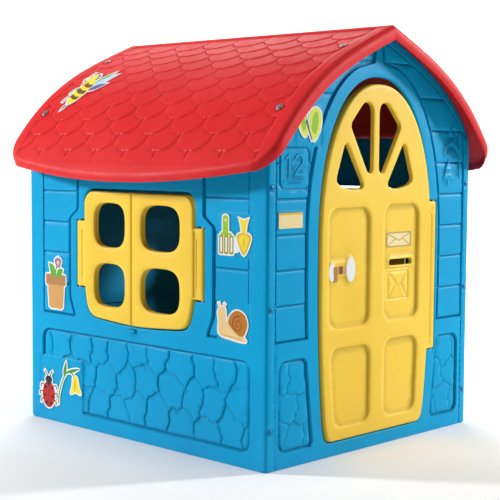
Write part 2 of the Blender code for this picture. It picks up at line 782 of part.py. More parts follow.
def make_roof_half(name, side):
    """A curved sheet with its rim turned down at the eave and the rakes, and a flange at the ridge."""
    columns = 12
    corner = [RAKE_Y - ROOF_CORNER * (1 - math.sin(math.radians(a))) for a in (90, 64, 40, 18, 0)]
    rows = [-y for y in corner] + [-0.40, -0.24, -0.08, 0.08, 0.24, 0.40] + list(reversed(corner))
    near = GAP / 2
    build = bmesh.new()
    grid = []
    for y in rows:
        reach = eave_x(y)
        line = []
        for i in range(columns + 1):
            x = near + (reach - near) * i / columns
            line.append(build.verts.new((side * x, y, roof_z(x))))
        grid.append(line)
    for a, b in zip(grid, grid[1:]):
        for i in range(columns):
            build.faces.new((a[i], a[i + 1], b[i + 1], b[i]))
    loop = grid[0] + [line[-1] for line in grid[1:-1]] + list(reversed(grid[-1]))
    loop += [line[0] for line in reversed(grid[1:-1])]
    rim = []
    for vertex in loop:
        x, y, z = vertex.co
        if abs(x) < 0.001:
            drop = Vector((0, 0, -RIDGE_FLANGE))
        else:
            at_eave = min(1.0, max(0.0, (abs(x) - 0.40) / 0.10)) * (1 if abs(y) < RAKE_Y - 0.001 else 0.3)
            drop = -roof_normal(x) * ROOF_RIM * (1 - at_eave) + Vector((0, 0, -EAVE_LIP)) * at_eave
        rim.append(build.verts.new(vertex.co + drop))
    for i in range(len(loop)):
        j = (i + 1) % len(loop)
        build.faces.new((loop[i], loop[j], rim[j], rim[i]))
    bmesh.ops.recalc_face_normals(build, faces=build.faces)
    if grid[3][3].normal.z < 0 or sum(f.normal.z for f in build.faces) < 0:
        bmesh.ops.reverse_faces(build, faces=build.faces)
    mesh = bpy.data.meshes.new(name)
    build.to_mesh(mesh)
    build.free()
    roof = new_object(name, mesh, "roof_red")
    solidify = roof.modifiers.new("sheet", "SOLIDIFY")
    solidify.thickness = SHEET
    solidify.offset = -1
    solidify.use_even_offset = True
    for end in (-1, 1):
        for i, x in enumerate(ROOF_SCREW_XS):
            x *= side
            centre = Vector((x, end * ROOF_SCREW_Y, roof_z(x)))
            normal = roof_normal(x)
            start, finish = centre + normal * 0.02, centre - normal * 0.02
            cut(roof, rod(f"{name}_hole_{end}_{i}", SCREW_HOLE, start, finish))
    mesh.shade_smooth()
    mesh.set_sharp_from_angle(angle=math.radians(35))


# ------------------------------------------------------------ small pieces


def screw_profile(head, length):
    """A low domed head that bears at z = 0, and a shank below it."""
    return [
        (0, 0.0022),
        (head, 0.0008),
        (head, 0),
        (SCREW_SHANK, 0),
        (SCREW_SHANK, -length),
        (0, -length),
    ]


def make_corner_screws():
    for end, word in ((-1, "front"), (1, "rear")):
        for side, hand in ((-1, "left"), (1, "right")):
            for i, z in enumerate(CORNER_SCREW_HEIGHTS):
                name = f"corner_screw_{word}_{hand}_{i + 1}"
                screw = turned(name, screw_profile(SCREW_HEAD, SCREW_LENGTH), "screw_grey")
                seat = Vector((side * CORNER_SCREW_X, end * (HALF_DEPTH + GAP), z))
                turn = Vector((0, end, 0)).to_track_quat("Z", "Y").to_matrix().to_4x4()
                screw.matrix_world = Matrix.Translation(seat) @ turn


def make_roof_screws():
    for side, hand in ((-1, "left"), (1, "right")):
        for end, word in ((-1, "front"), (1, "rear")):
            for i, x in enumerate(ROOF_SCREW_XS):
                x *= side
                name = f"roof_screw_{hand}_{word}_{i + 1}"
                screw = turned(name, screw_profile(ROOF_SCREW_HEAD, ROOF_SCREW_LENGTH), "screw_grey")
                normal = roof_normal(x)
                seat = Vector((x, end * ROOF_SCREW_Y, roof_z(x))) + normal * (GAP + 0.0005)
                turn = normal.to_track_quat("Z", "Y").to_matrix().to_4x4()
                screw.matrix_world = Matrix.Translation(seat) @ turn


def make_flat_sticker(name, place, outline, depth, paint="label_white"):
    """A printed label whose back stands a gap off the surface at the given depth."""
    back = depth - GAP
    sticker = prism(name, outline, back - STICKER_THICKNESS, back, paint)
    put([sticker], PLACES[place])


def make_roof_sticker(name, side, x0, x1, y0, y1):
    """A label that lies on the curved roof."""
    build = bmesh.new()
    bottom, top = [], []
    steps = 6
    for lift, rows in ((GAP * 2, bottom), (GAP * 2 + STICKER_THICKNESS, top)):
        for i in range(steps + 1):
            x = side * (x0 + (x1 - x0) * i / steps)
            point = Vector((x, 0, roof_z(x))) + roof_normal(x) * lift
            bow = 0.02 * math.sin(math.pi * i / steps)
            ends = (y0 - bow, y1 + bow)
            rows.append([build.verts.new((point.x, y, point.z)) for y in ends])
    for i in range(steps):
        build.faces.new((top[i][0], top[i + 1][0], top[i + 1][1], top[i][1]))
        build.faces.new((bottom[i][0], bottom[i][1], bottom[i + 1][1], bottom[i + 1][0]))
        for k in (0, 1):
            build.faces.new((bottom[i][k], bottom[i + 1][k], top[i + 1][k], top[i][k]))
    for i in (0, steps):
        build.faces.new((bottom[i][0], bottom[i][1], top[i][1], top[i][0]))
    bmesh.ops.recalc_face_normals(build, faces=build.faces)
    mesh = bpy.data.meshes.new(name)
    build.to_mesh(mesh)
    build.free()
    new_object(name, mesh, "label_white")


def make_stickers():
    make_roof_sticker("bee_sticker", -1, 0.215, 0.405, 0.345, 0.450)
    butterfly = superellipse(-0.345, -0.248, 0.862, 0.965, 2.0, 16)
    make_flat_sticker("butterfly_sticker", "front", butterfly, 0.0)
    label = rounded_box(-0.415, -0.321, 0.643, 0.684, 0.003, 2)
    make_flat_sticker("label_sticker", "front", label, 0.0, "label_cream")
    for name, *edges, radius in (
        ("garden_tools_sticker", 0.333, 0.459, 0.564, 0.678, 0.020),
        ("snail_sticker", 0.330, 0.448, 0.338, 0.440, 0.030),
        ("flowerpot_sticker", -0.438, -0.330, 0.352, 0.518, 0.020),
        ("ladybird_sticker", -0.462, -0.258, 0.030, 0.200, 0.030),
    ):
        make_flat_sticker(name, "left", rounded_box(*edges, radius, 3), 0.0)
    panel = DOOR_FRONT + PANEL_SINK
    make_flat_sticker("letter_sticker", "front", rounded_box(0.036, 0.164, 0.568, 0.618, 0.016, 3), panel)
    bolt = rounded_box(-0.214, -0.096, 0.483, 0.555, 0.030, 3)
    make_flat_sticker("bolt_sticker", "front", bolt, panel, "label_grey")


def main():
    clear_scene()
    make_front_wall()
    make_rear_wall()
    make_side_wall("left_wall")
    make_side_wall("right_wall")
    make_roof_half("roof_left", -1)
    make_roof_half("roof_right", 1)
    make_door()
    for wall in ("left", "right"):
        for word in ("front", "rear"):
            make_shutter(wall, word)
    make_corner_screws()
    make_roof_screws()
    make_stickers()


main()
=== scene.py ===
"""The looks of a child's moulded plastic playhouse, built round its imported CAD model.

Each wall is drawn in its own frame: u runs to the right as seen from outside,
v is the height, and a depth runs inward from the wall's outer plane. Moulded
sheets are shells: a relief in front, a plainer back, and rounded rims between.
"""

import json
import math
import random

import bpy
import numpy as np
from mathutils import Matrix, Vector, kdtree
from mathutils.geometry import delaunay_2d_cdt


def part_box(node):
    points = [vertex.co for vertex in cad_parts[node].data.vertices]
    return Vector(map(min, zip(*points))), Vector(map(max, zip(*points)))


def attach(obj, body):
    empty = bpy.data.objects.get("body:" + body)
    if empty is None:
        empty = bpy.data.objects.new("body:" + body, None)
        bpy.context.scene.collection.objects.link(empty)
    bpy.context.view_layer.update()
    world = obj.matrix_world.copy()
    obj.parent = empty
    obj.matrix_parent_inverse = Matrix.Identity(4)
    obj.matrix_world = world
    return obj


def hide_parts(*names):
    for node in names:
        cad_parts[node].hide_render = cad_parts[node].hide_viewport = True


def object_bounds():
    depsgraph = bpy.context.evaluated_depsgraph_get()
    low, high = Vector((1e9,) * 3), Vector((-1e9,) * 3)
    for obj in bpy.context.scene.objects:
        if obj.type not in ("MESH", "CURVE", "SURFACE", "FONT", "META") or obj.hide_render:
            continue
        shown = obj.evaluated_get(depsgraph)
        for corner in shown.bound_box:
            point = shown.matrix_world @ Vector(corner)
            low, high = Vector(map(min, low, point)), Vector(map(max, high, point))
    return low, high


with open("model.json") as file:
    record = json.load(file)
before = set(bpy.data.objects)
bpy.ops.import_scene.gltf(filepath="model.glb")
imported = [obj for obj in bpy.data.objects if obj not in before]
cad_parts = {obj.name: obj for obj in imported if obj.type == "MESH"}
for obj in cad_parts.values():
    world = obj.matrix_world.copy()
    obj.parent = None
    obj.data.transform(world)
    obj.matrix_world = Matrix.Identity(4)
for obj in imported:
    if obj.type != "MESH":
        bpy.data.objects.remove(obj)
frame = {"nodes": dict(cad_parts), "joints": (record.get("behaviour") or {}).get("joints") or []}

CAD_LOW, CAD_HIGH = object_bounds()
JOINTS = {j["name"]: j for j in frame["joints"]}

# Overall size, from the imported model
CATCH_PROUD, CATCH_HALF, CATCH_HEIGHTS = 0.006, 0.012, (0.318, 0.3275)
HALF_WIDTH = -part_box("left_wall")[0].x - CATCH_PROUD
HALF_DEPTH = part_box("left_wall")[1].y
RIDGE_Z = CAD_HIGH.z
RAKE_Y = CAD_HIGH.y
EAVE_X = CAD_HIGH.x
SIDE_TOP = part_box("left_wall")[1].z
GABLE_HALF = HALF_WIDTH - 0.0303  # the gable walls' outer face ends here
GABLE_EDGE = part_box("front_wall")[1].x

# Moulded sheet
SHEET = 0.003
POCKET = 0.0072  # how far board zones and stone pockets are pressed in
LIP = 0.0012  # how far a board's face stays below the bands round it
TONGUE_DEPTH = 0.0036  # the step by which the gable walls pass behind the side walls' returns
CORNER_RADIUS = 0.008
RETURN = 0.030  # how far the side walls reach round the corners
RAKE_RIM = 0.032
BAND_WIDTH = 0.047
ZONE_INSET = 0.0038
HOLE_EDGE, HOLE_DROP = 0.004, 0.004
SOCKET_HALF, SOCKET_HEIGHT, SOCKET_PROUD = 0.008, 0.023, 0.0088
PAD_GROW = 0.004

# Boards: the lap is the groove under each board, and a board leans in towards its top
BOARD_Z, BOARD_PITCH, BOARD_FOOT = 0.344, 0.0945, 0.0045
LAP_WIDTH, LAP_SOFT, BOARD_LEAN = 0.0052, 0.6, 0.0016
TOE_HEIGHT, TOE_DEPTH, BOARD_RISE = 0.004, 0.0008, 0.0016
BOARD_ROWS = (-0.0056, -0.0042, -0.0028, -0.0016, -0.0005, 0.0001, 0.0006, 0.0012, 0.0018, 0.0040)

# Stones
STONE_LOW, STONE_HIGH, STONE_RADIUS = 0.042, 0.290, 0.030
GABLE_STONE_EDGE, SIDE_STONE_EDGE = 0.409, 0.452
STONE_LIFT, STONE_LEAN, STONE_LEAN_WAY = 0.42, 0.0030, (0.72, -0.69)
STONE_JOINT, STONE_JOINT_HALF = 0.0016, 0.0030
STONE_CHANNEL, STONE_CHANNEL_SOFT = 0.006, 0.004

# Number plate on the front wall: its box, clipped corners and relief
PLATE, PLATE_CLIP = (-0.413, -0.294, 0.744, 0.859), 0.014
PLATE_RIM, PLATE_GROOVE, PLATE_FACE = 0.005, 0.0035, 0.0006
DIGIT_WIDTH, DIGIT_HEIGHT = 0.0082, 0.0014

# Door
DOOR_HALF = 0.250
DOOR_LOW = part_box("door_leaf")[0].z
DOOR_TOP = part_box("door_leaf")[1].z
DOOR_SPRING = 0.600
DOOR_RISE = DOOR_TOP - DOOR_SPRING
DOOR_POWER, DOOR_TAPER = 2.2, 0.025
DOOR_CLEAR, DOOR_TOP_CLEAR = 0.004, 0.019
DOOR_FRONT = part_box("front_wall")[0].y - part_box("door_leaf")[0].y
DOOR_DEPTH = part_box("door_leaf")[1].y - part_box("door_leaf")[0].y
DOOR_LOBE = (0.255, 0.700)
FAN_SHIFT = 0.0165
SLOT_CENTRE, SLOT_SIZE = (0.110, 0.527), (0.108, 0.018)
PANEL_SINK, PANEL_SIDE = 0.006, 0.006
DOOR_PANELS = (  # x0, x1, z0, z1, corner radius and how far the foot leans in
    (-0.216, -0.040, 0.357, 0.692, 0.036, 0.0),
    (0.029, 0.189, 0.360, 0.697, 0.036, 0.0),
    (-0.206, -0.034, 0.078, 0.302, 0.034, 0.020),
    (0.034, 0.190, 0.080, 0.305, 0.034, -0.010),
)
DOOR_LOBE_ROOT, DOOR_LOBE_THIN = 0.2525, 0.008
FAN_EDGE, FAN_DROP = 0.0040, 0.0085
SLOT_EDGE, SLOT_DROP, SLOT_COLLAR = 0.0032, 0.008, 0.006
LEAF_RIM = 0.0065
LOBE_STEP, LOBE_BLEND, GROOVE_SETBACK = 0.004, 0.006, 0.0185
BARREL = 0.007
DOOR_LOBE_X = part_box("door_leaf")[1].x
DOOR_HINGE_X = JOINTS["door_hinge"]["pos_m"][0]

# Windows
LEAF_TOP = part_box("left_shutter_front")[1].z
LEAF_LOW, LEAF_HALF, LEAF_CORNER = 0.337, 0.237, 0.040
LEAF_SPLIT, LEAF_GAP, LEAF_CLEAR = 0.020, 0.0015, 0.004
LEAF_FRONT, LEAF_DEPTH = 0.006, 0.018
LEAF_LOBE = (0.436, 0.634)
LEAF_LOBE_X = -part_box("left_shutter_front")[0].y
LOBE_SIDE_CLEAR = 0.0028
LEAF_LOBE_ROOT, LEAF_LOBE_THIN = 0.2395, 0.006
PANE_ROWS, PANE_EDGE = ((0.384, 0.512), (0.560, 0.691)), 0.0055

# Roof
ROOF_SLOPE, ROOF_CURL, ROOF_POWER = 0.42, 1.87, 3.65
EAVE_BOW, ROOF_CORNER = 0.092, 0.065
ROOF_RIM, EAVE_LIP, RIDGE_FLANGE = 0.036, 0.016, 0.018
RIM_INSET = 0.015
TILE_PITCH_S, TILE_PITCH_Y = 0.0578, 0.131
TILE_ROWS, TILE_FIRST = 11, 0.064
TILE_FADE, FADE_LENGTH = 0.636, 0.024
TILE_DROP, TILE_LIFT = 0.036, 0.0026
FIELD_RAKE = 0.516
TILE_SINK, TILE_SWELL = 0.0030, 0.0006
SLIT_WIDTH, SLIT_DEPTH = 0.0030, 0.0022
EAVE_INSET = 0.008
ROOF_THICKNESS = 0.003
ROOF_SCREW_XS, ROOF_SCREW_Y = (0.150, 0.405), 0.503
GAP = 0.0003

# Screws: heads' radii, shanks, and how far a socket or dimple reaches round them
CORNER_SCREW_HEIGHTS, CORNER_SHANK = (0.107, 0.431, 0.750), 0.013
ROOF_SCREW_RADIUS, ROOF_SHANK = 0.0108, 0.020
SHANK_RADIUS, SHANK_SIDES = 0.0022, 12
DIMPLE_RADIUS, DIMPLE_DEPTH = 0.0098, 0.0012

# Stickers and finishes
FILM = 0.0004
DUST = (0.36, 0.33, 0.29)

# Camera: a level view of the front left corner, with the stage behind it
CAMERA_AZIMUTH, CAMERA_ELEVATION, CAMERA_ROLL = 46.09, 4.50, 0.40
CAMERA_PLACE, CAMERA_LENS, CAMERA_REACH = (-2.813, -2.718, 0.844), 89.9, 60
STAGE_NEAR, STAGE_FAR, STAGE_BEND, STAGE_TOP, STAGE_HALF = -6.0, 5.0, 2.0, 7.0, 12.0
LIGHTS = (  # name, place, target, diameter and power
    ("right_softbox", (5.3, -3.5, 2.6), (0, 0, 0.6), 0.9, 420),
    ("left_softbox", (-4.0, 4.6, 2.8), (0, 0, 0.6), 0.9, 390),
    ("top_softbox", (-0.6, -1.2, 6.5), (0, 0, 0), 3.0, 130),
    ("rear_fill", (3.8, 3.6, 3.0), (0, 0, 0.6), 2.4, 50),
    ("backdrop_light", (1.5, 2.2, 5.0), (5.5, 5.5, 1.0), 2.5, 330),
)

PINS = [n for n in frame["nodes"] if "hinge_pin" in n]


# ------------------------------------------------------------- plane shapes


def smooth(x):
    x = np.clip(x, 0.0, 1.0)
    return x * x * (3 - 2 * x)


def arc(cx, cy, radius, start, end, steps):
    """Points on an arc; the angles are in degrees."""
    angles = np.radians(np.linspace(start, end, steps + 1))
    return [(cx + radius * math.cos(a), cy + radius * math.sin(a)) for a in angles]


def rounded_box(x0, x1, y0, y1, radius, steps=6):
    corners = (
        (x1 - radius, y0 + radius, -90),
        (x1 - radius, y1 - radius, 0),
        (x0 + radius, y1 - radius, 90),
        (x0 + radius, y0 + radius, 180),
    )
    points = []
    for cx, cy, start in corners:
        points += arc(cx, cy, radius, start, start + 90, steps)
    return np.array(points)


def strip(x0, x1, y0, y1):
    return np.array([(x0, y0), (x1, y0), (x1, y1), (x0, y1)])


def superellipse(x0, x1, y0, y1, power=2.0, steps=40):
    angles = 2 * np.pi * np.arange(steps) / steps
    c, s = np.cos(angles), np.sin(angles)
    x = (x0 + x1) / 2 + (x1 - x0) / 2 * np.sign(c) * np.abs(c) ** (2 / power)
    y = (y0 + y1) / 2 + (y1 - y0) / 2 * np.sign(s) * np.abs(s) ** (2 / power)
    return np.column_stack([x, y])


def mirrored(outline):
    outline = np.array(outline)[::-1].copy()
    outline[:, 0] *= -1
    return outline


def turned_outline(outline, angle, about=(0, 0)):
    c, s = math.cos(math.radians(angle)), math.sin(math.radians(angle))
    return (np.array(outline) - about) @ np.array([[c, s], [-s, c]]) + about


def ellipse(cx, cy, rx, ry=None, angle=0.0, steps=40):
    ry = rx if ry is None else ry
    points = superellipse(-rx, rx, -ry, ry, 2.0, steps)
    return turned_outline(points, angle) + (cx, cy)


def area(loop):
    x, y = loop[:, 0], loop[:, 1]
    return 0.5 * np.sum(x * np.roll(y, -1) - y * np.roll(x, -1))


def counter_clockwise(loop):
    loop = np.array(loop, float)
    return loop if area(loop) > 0 else loop[::-1].copy()


def offset(loop, distance):
    """The counter-clockwise loop moved outward by the distance, with mitred corners."""
    loop = np.array(loop, float)
    before = loop - np.roll(loop, 1, 0)
    after = np.roll(loop, -1, 0) - loop
    n0 = np.column_stack([before[:, 1], -before[:, 0]])
    n1 = np.column_stack([after[:, 1], -after[:, 0]])
    n0 /= np.linalg.norm(n0, axis=1)[:, None]
    n1 /= np.linalg.norm(n1, axis=1)[:, None]
    share = np.maximum(1 + (n0 * n1).sum(1), 0.5)[:, None]
    return loop + distance * (n0 + n1) / share


def resample(line, step, closed=True):
    """Points along the line, at about the step apart."""
    line = np.array(line, float)
    if closed:
        line = np.vstack([line, line[:1]])
    lengths = np.linalg.norm(np.diff(line, axis=0), axis=1)
    total = np.concatenate([[0], np.cumsum(lengths)])
    count = max(2, int(round(total[-1] / step)))
    at = np.linspace(0, total[-1], count + 1)
    if closed:
        at = at[:-1]
    return np.column_stack([np.interp(at, total, line[:, k]) for k in (0, 1)])


def subdivided(line, step, closed=True):
    """The line with each long segment split, so its own corners stay."""
    line = np.array(line, float)
    ends = np.vstack([line, line[:1]]) if closed else line
    points = []
    for a, b in zip(ends, ends[1:]):
        count = max(1, int(math.ceil(np.linalg.norm(b - a) / step)))
        for k in range(count):
            points.append(a + (b - a) * k / count)
    if not closed:
        points.append(ends[-1])
    return np.array(points)


def curve_through(points, steps=6, closed=False):
    """A Catmull-Rom curve through the points."""
    p = np.array(points, float)
    if closed:
        p = np.vstack([p[-1:], p, p[:2]])
    else:
        p = np.vstack([2 * p[0] - p[1], p, 2 * p[-1] - p[-2]])
    made = []
    for i in range(1, len(p) - 2):
        a, b, c, d = p[i - 1 : i + 3]
        for k in range(steps):
            t = k / steps
            made.append(
                0.5 * (
                    2 * b + (c - a) * t + (
                        2 * a - 5 * b + 4 * c - d
                    ) * t * t + (3 * b - a - 3 * c + d) * t**3
                )
            )
    if not closed:
        made.append(p[-2])
    return np.array(made)


def rounded_corners(loop, radius, steps=4):
    """The loop with each corner cut back by up to the radius and rounded."""
    loop = np.array(loop, float)
    made = []
    for i, point in enumerate(loop):
        back, ahead = loop[i - 1] - point, loop[(i + 1) % len(loop)] - point
        reach_back = min(radius, np.linalg.norm(back) * 0.45)
        reach_ahead = min(radius, np.linalg.norm(ahead) * 0.45)
        a = point + back / np.linalg.norm(back) * reach_back
        b = point + ahead / np.linalg.norm(ahead) * reach_ahead
        for k in range(steps + 1):
            t = k / steps
            made.append((1 - t) ** 2 * a + 2 * t * (1 - t) * point + t * t * b)
    return np.array(made)


def inside(loop, points):
    x, y = points[:, 0], points[:, 1]
    found = np.zeros(len(points), bool)
    for (x0, y0), (x1, y1) in zip(loop, np.roll(loop, -1, 0)):
        if y0 == y1:
            continue
        found ^= ((y0 > y) != (y1 > y)) & (x < (x1 - x0) * (y - y0) / (y1 - y0) + x0)
    return found


def gap_to(line, points, closed=True, reach=1.0):
    """Each point's distance from the line, or the reach where it is further."""
    line = np.array(line, float)
    gaps = np.full(len(points), reach)
    low, high = line.min(0) - reach, line.max(0) + reach
    near = np.all((points > low) & (points < high), axis=1)
    if not near.any():
        return gaps
    close = points[near]
    best = np.full(len(close), reach)
    ends = np.roll(line, -1, 0) if closed else line[1:]
    for a, b in zip(line, ends):
        ab = b - a
        t = np.clip(((close - a) @ ab) / max(ab @ ab, 1e-18), 0, 1)
        d = close - a - t[:, None] * ab
        best = np.minimum(best, np.sqrt((d * d).sum(1)))
    gaps[near] = best
    return gaps


def depth_inside(loop, points, reach=0.03):
    """How far each point is inside the loop, and negative outside."""
    gaps = gap_to(loop, points, True, reach)
    return np.where(inside(loop, points), gaps, -gaps)


def distinct(points, cell):
    """One point of each cell of a fine grid."""
    keys = np.round(points / cell).astype(np.int64)
    _, first = np.unique(keys, axis=0, return_index=True)
    return points[np.sort(first)]


def hex_grid(low, high, spacing):
    rows = []
    for k, y in enumerate(np.arange(low[1], high[1], spacing * 0.866)):
        x = np.arange(low[0] + (k % 2) * spacing / 2, high[0], spacing)
        rows.append(np.column_stack([x, np.full(len(x), y)]))
    return np.vstack(rows)


# ------------------------------------------------------------------ reliefs


class Relief:
    """A height over a plane, with the lines along which its mesh needs points."""

    def __init__(self, spacing):
        self.spacing = spacing
        self.parts = []
        self.rows = []

    def row(self, line, step, closed=True):
        self.rows.append(resample(line, step, closed))

    def press(self, loop, value, width=0.0025, step=0.004, fine=True):
        """Sets the height inside the loop, across a rounded step of the given width."""
        loop = counter_clockwise(loop)
        self.parts.append(("press", loop, value, width))
        shares = (-0.5, -0.2, 0.2, 0.5) if fine else (-0.5, 0.5)
        for share in shares:
            self.row(offset(loop, share * width), step)

    def stroke(self, line, width, value, soft=0.0015, step=0.0025, closed=False):
        """Moves the height towards the value along a line of the given width."""
        line = np.array(line, float)
        self.parts.append(("stroke", line, value, width, soft, closed))
        direction = np.gradient(resample(line, step, closed), axis=0)
        direction /= np.linalg.norm(direction, axis=1)[:, None] + 1e-12
        side = np.column_stack([direction[:, 1], -direction[:, 0]])
        centre = resample(line, step, closed)
        for reach in (0, width / 2 - soft / 2, width / 2 + soft / 2):
            self.rows.append(centre + side * reach)
            self.rows.append(centre - side * reach)

    def cells(self, loop, change):
        self.parts.append(("cells", counter_clockwise(loop), change))

    def height(self, points):
        heights = np.zeros(len(points))
        for part in self.parts:
            if part[0] == "press":
                _, loop, value, width = part
                share = smooth(depth_inside(loop, points) / width + 0.5)
                if callable(value):
                    touched = share > 0
                    target = np.zeros(len(points))
                    target[touched] = value(points[touched])
                else:
                    target = value
                heights += (target - heights) * share
            elif part[0] == "stroke":
                _, line, value, width, soft, closed = part
                gaps = gap_to(line, points, closed, width + soft)
                share = 1 - smooth((gaps - width / 2) / soft + 0.5)
                heights += (value - heights) * share
            else:
                _, loop, change = part
                share = smooth((depth_inside(loop, points) - STONE_CHANNEL) / STONE_CHANNEL_SOFT)
                touched = share > 0
                heights[touched] += change(points[touched]) * share[touched]
        return heights

    def points(self, loops):
        low, high = loops[0].min(0), loops[0].max(0)
        rows = distinct(np.vstack(self.rows), 0.0009) if self.rows else np.zeros((0, 2))
        rows = within(loops, rows, 0.0006)
        grid = within(loops, hex_grid(low, high, self.spacing), self.spacing * 0.35)
        if len(rows):
            tree = kdtree.KDTree(len(rows))
            for i, (x, y) in enumerate(rows):
                tree.insert((x, y, 0), i)
            tree.balance()
            keep = [tree.find((x, y, 0))[2] > self.spacing * 0.42 for x, y in grid]
            grid = grid[np.array(keep, bool)]
        return np.vstack([rows, grid])


def within(loops, points, clear):
    """The points inside the first loop and outside the others, and clear of them all."""
    if not len(points):
        return points
    keep = inside(loops[0], points)
    for loop in loops[1:]:
        keep &= ~inside(loop, points)
    for loop in loops:
        keep &= gap_to(loop, points, True, clear * 1.01) > clear
    return points[keep]


def triangulate(loops, points):
    """(points, triangles, each loop's vertices) of the area between the loops."""
    given = np.vstack([*loops, points])
    edges, starts = [], []
    start = 0
    for loop in loops:
        count = len(loop)
        edges += [(start + i, start + (i + 1) % count) for i in range(count)]
        starts.append((start, count))
        start += count
    result = delaunay_2d_cdt([Vector(p) for p in given], edges, [], 0, 1e-7)
    vertices = np.array([tuple(v) for v in result[0]])
    origin = {}
    for index, sources in enumerate(result[3]):
        for source in sources:
            origin[source] = index
    triangles = np.array(result[2])
    centres = vertices[triangles].mean(1)
    keep = inside(loops[0], centres)
    for loop in loops[1:]:
        keep &= ~inside(loop, centres)
    corners = vertices[triangles]
    ab, ac = corners[:, 1] - corners[:, 0], corners[:, 2] - corners[:, 0]
    turn = ab[:, 0] * ac[:, 1] - ab[:, 1] * ac[:, 0]
    keep &= np.abs(turn) > 1e-12
    triangles = triangles[keep]
    flip = turn[keep] < 0
    triangles[flip] = triangles[flip][:, ::-1]
    rims = [[origin[k] for k in range(start, start + count)] for start, count in starts]
    return vertices, triangles, rims


# ------------------------------------------------------------------- shells


class Edge:
    """One rim of a shell: the line where it starts to turn, the line it turns to, and how far it goes."""

    def __init__(self, outline, radius, drop=None, hole=False, step=0.008):
        outer = subdivided(counter_clockwise(outline), step)
        base = offset(outer, radius if hole else -radius)
        self.edge = outer[::-1].copy() if hole else outer
        self.base = base[::-1].copy() if hole else base
        self.radius = radius
        self.drop = drop


def flat_surface(place, depth=0.0):
    """Gives a wall's points, outward normals and tangents for (u, v)."""
    location, turn = place
    turned = np.array(Matrix.Rotation(math.radians(turn), 3, "Z"))

    def surface(uv):
        local = np.column_stack([uv[:, 0], np.full(len(uv), depth), uv[:, 1]])
        points = local @ turned.T + np.array(location)
        ones = np.ones((len(uv), 1))
        return points, ones * (
            turned @ [0, -1, 0]
        ), ones * (turned @ [1, 0, 0]), ones * np.array([0.0, 0, 1])

    return surface


def wrapped_surface(place, half):
    """A side wall's surface: flat, then round the corners, then straight along the returns."""
    location, turn = place
    turned = np.array(Matrix.Rotation(math.radians(turn), 3, "Z"))
    flat = half - CORNER_RADIUS

    def surface(uv):
        u, side = np.abs(uv[:, 0]), np.sign(uv[:, 0])
        angle = np.clip((u - flat) / CORNER_RADIUS, 0, math.pi / 2)
        past = np.maximum(u - flat - CORNER_RADIUS * math.pi / 2, 0)
        along = np.minimum(u, flat) + CORNER_RADIUS * np.sin(angle)
        depth = CORNER_RADIUS * (1 - np.cos(angle)) + past
        local = np.column_stack([side * along, depth, uv[:, 1]])
        normal = np.column_stack([side * np.sin(angle), -np.cos(angle), 0 * u])
        tangent = np.column_stack([np.cos(angle), side * np.sin(angle), 0 * u])
        ones = np.ones((len(uv), 1))
        return local @ turned.T + np.array(location), normal @ turned.T, tangent @ turned.T, ones * np.array(
            [0.0, 0, 1]
        )

    return surface


def make_mesh(name, vertices, faces, paints, face_paints=None, sharp=42):
    mesh = bpy.data.meshes.new(name)
    mesh.from_pydata(np.asarray(vertices).tolist(), [], [list(map(int, f)) for f in faces])
    for paint in paints:
        mesh.materials.append(paint)
    if face_paints is not None:
        mesh.polygons.foreach_set("material_index", np.asarray(face_paints, np.int32))
    mesh.validate()
    mesh.shade_smooth()
    mesh.set_sharp_from_angle(angle=math.radians(sharp))
    thing = bpy.data.objects.new(name, mesh)
    bpy.context.scene.collection.objects.link(thing)
    return thing


def shell(name, edges, front, back, surface, paint, thickness=SHEET, rings=4, level=0.0):
    """A moulded sheet: the front relief, the back, and a rounded rim at each edge."""
    front_uv, front_faces, front_rims = triangulate(
        [e.base for e in edges], front.points([e.base for e in edges])
    )
    back_loops = [e.edge if e.drop is None else e.base for e in edges]
    back_uv, back_faces, back_rims = triangulate(back_loops, back.points(back_loops))
    points, normals, along, up = surface(front_uv)
    points = points + normals * (front.height(front_uv) + level)[:, None]
    behind, back_normals, _, _ = surface(back_uv)
    behind = behind + back_normals * (back.height(back_uv) + level - thickness)[:, None]
    vertices = [points, behind]
    faces = [tuple(f) for f in front_faces]
    faces += [tuple(f[::-1] + len(points)) for f in back_faces]
    total = len(points) + len(behind)
    for edge, rim, back_rim in zip(edges, front_rims, back_rims):
        rim = np.array(rim)
        start, normal = points[rim], normals[rim]
        flat = edge.edge - edge.base
        turn = flat[:, :1] * along[rim] + flat[:, 1:] * up[rim]
        radius = edge.radius
        lines = [rim]
        sections = []
        for k in range(1, rings + 1):
            a = math.pi / 2 * k / rings
            sections.append(start + turn * math.sin(a) - normal * radius * (1 - math.cos(a)))
        if edge.drop is not None:
            drop = edge.drop(edge.base) if callable(edge.drop) else np.full(len(rim), edge.drop)
            drop = drop[:, None]
            inner = 1 - thickness / radius
            sections.append(start + turn - normal * (radius + drop))
            sections.append(start + turn * inner - normal * (radius + drop))
            for k in range(rings, 0, -1):
                a = math.pi / 2 * k / rings
                bend = (radius - thickness) * math.cos(a)
                sections.append(start + turn * inner * math.sin(a) - normal * (radius - bend))
        for section in sections:
            vertices.append(section)
            lines.append(np.arange(total, total + len(section)))
            total += len(section)
        lines.append(np.array(back_rim) + len(points))
        for a, b in zip(lines, lines[1:]):
            a2, b2 = np.roll(a, -1), np.roll(b, -1)
            faces += list(zip(a, b, b2, a2))
    face_paints = np.zeros(len(faces), np.int32)
    face_paints[len(front_faces) : len(front_faces) + len(back_faces)] = 1
    return make_mesh(name, np.vstack(vertices), faces, [paint, INSIDES.get(paint.name, paint)], face_paints)


# ------------------------------------------------------------------- finish


def node(tree, kind, **values):
    made = tree.nodes.new(kind)
    for key, value in values.items():
        if key in made.inputs:
            made.inputs[key].default_value = value
        else:
            setattr(made, key, value)
    return made


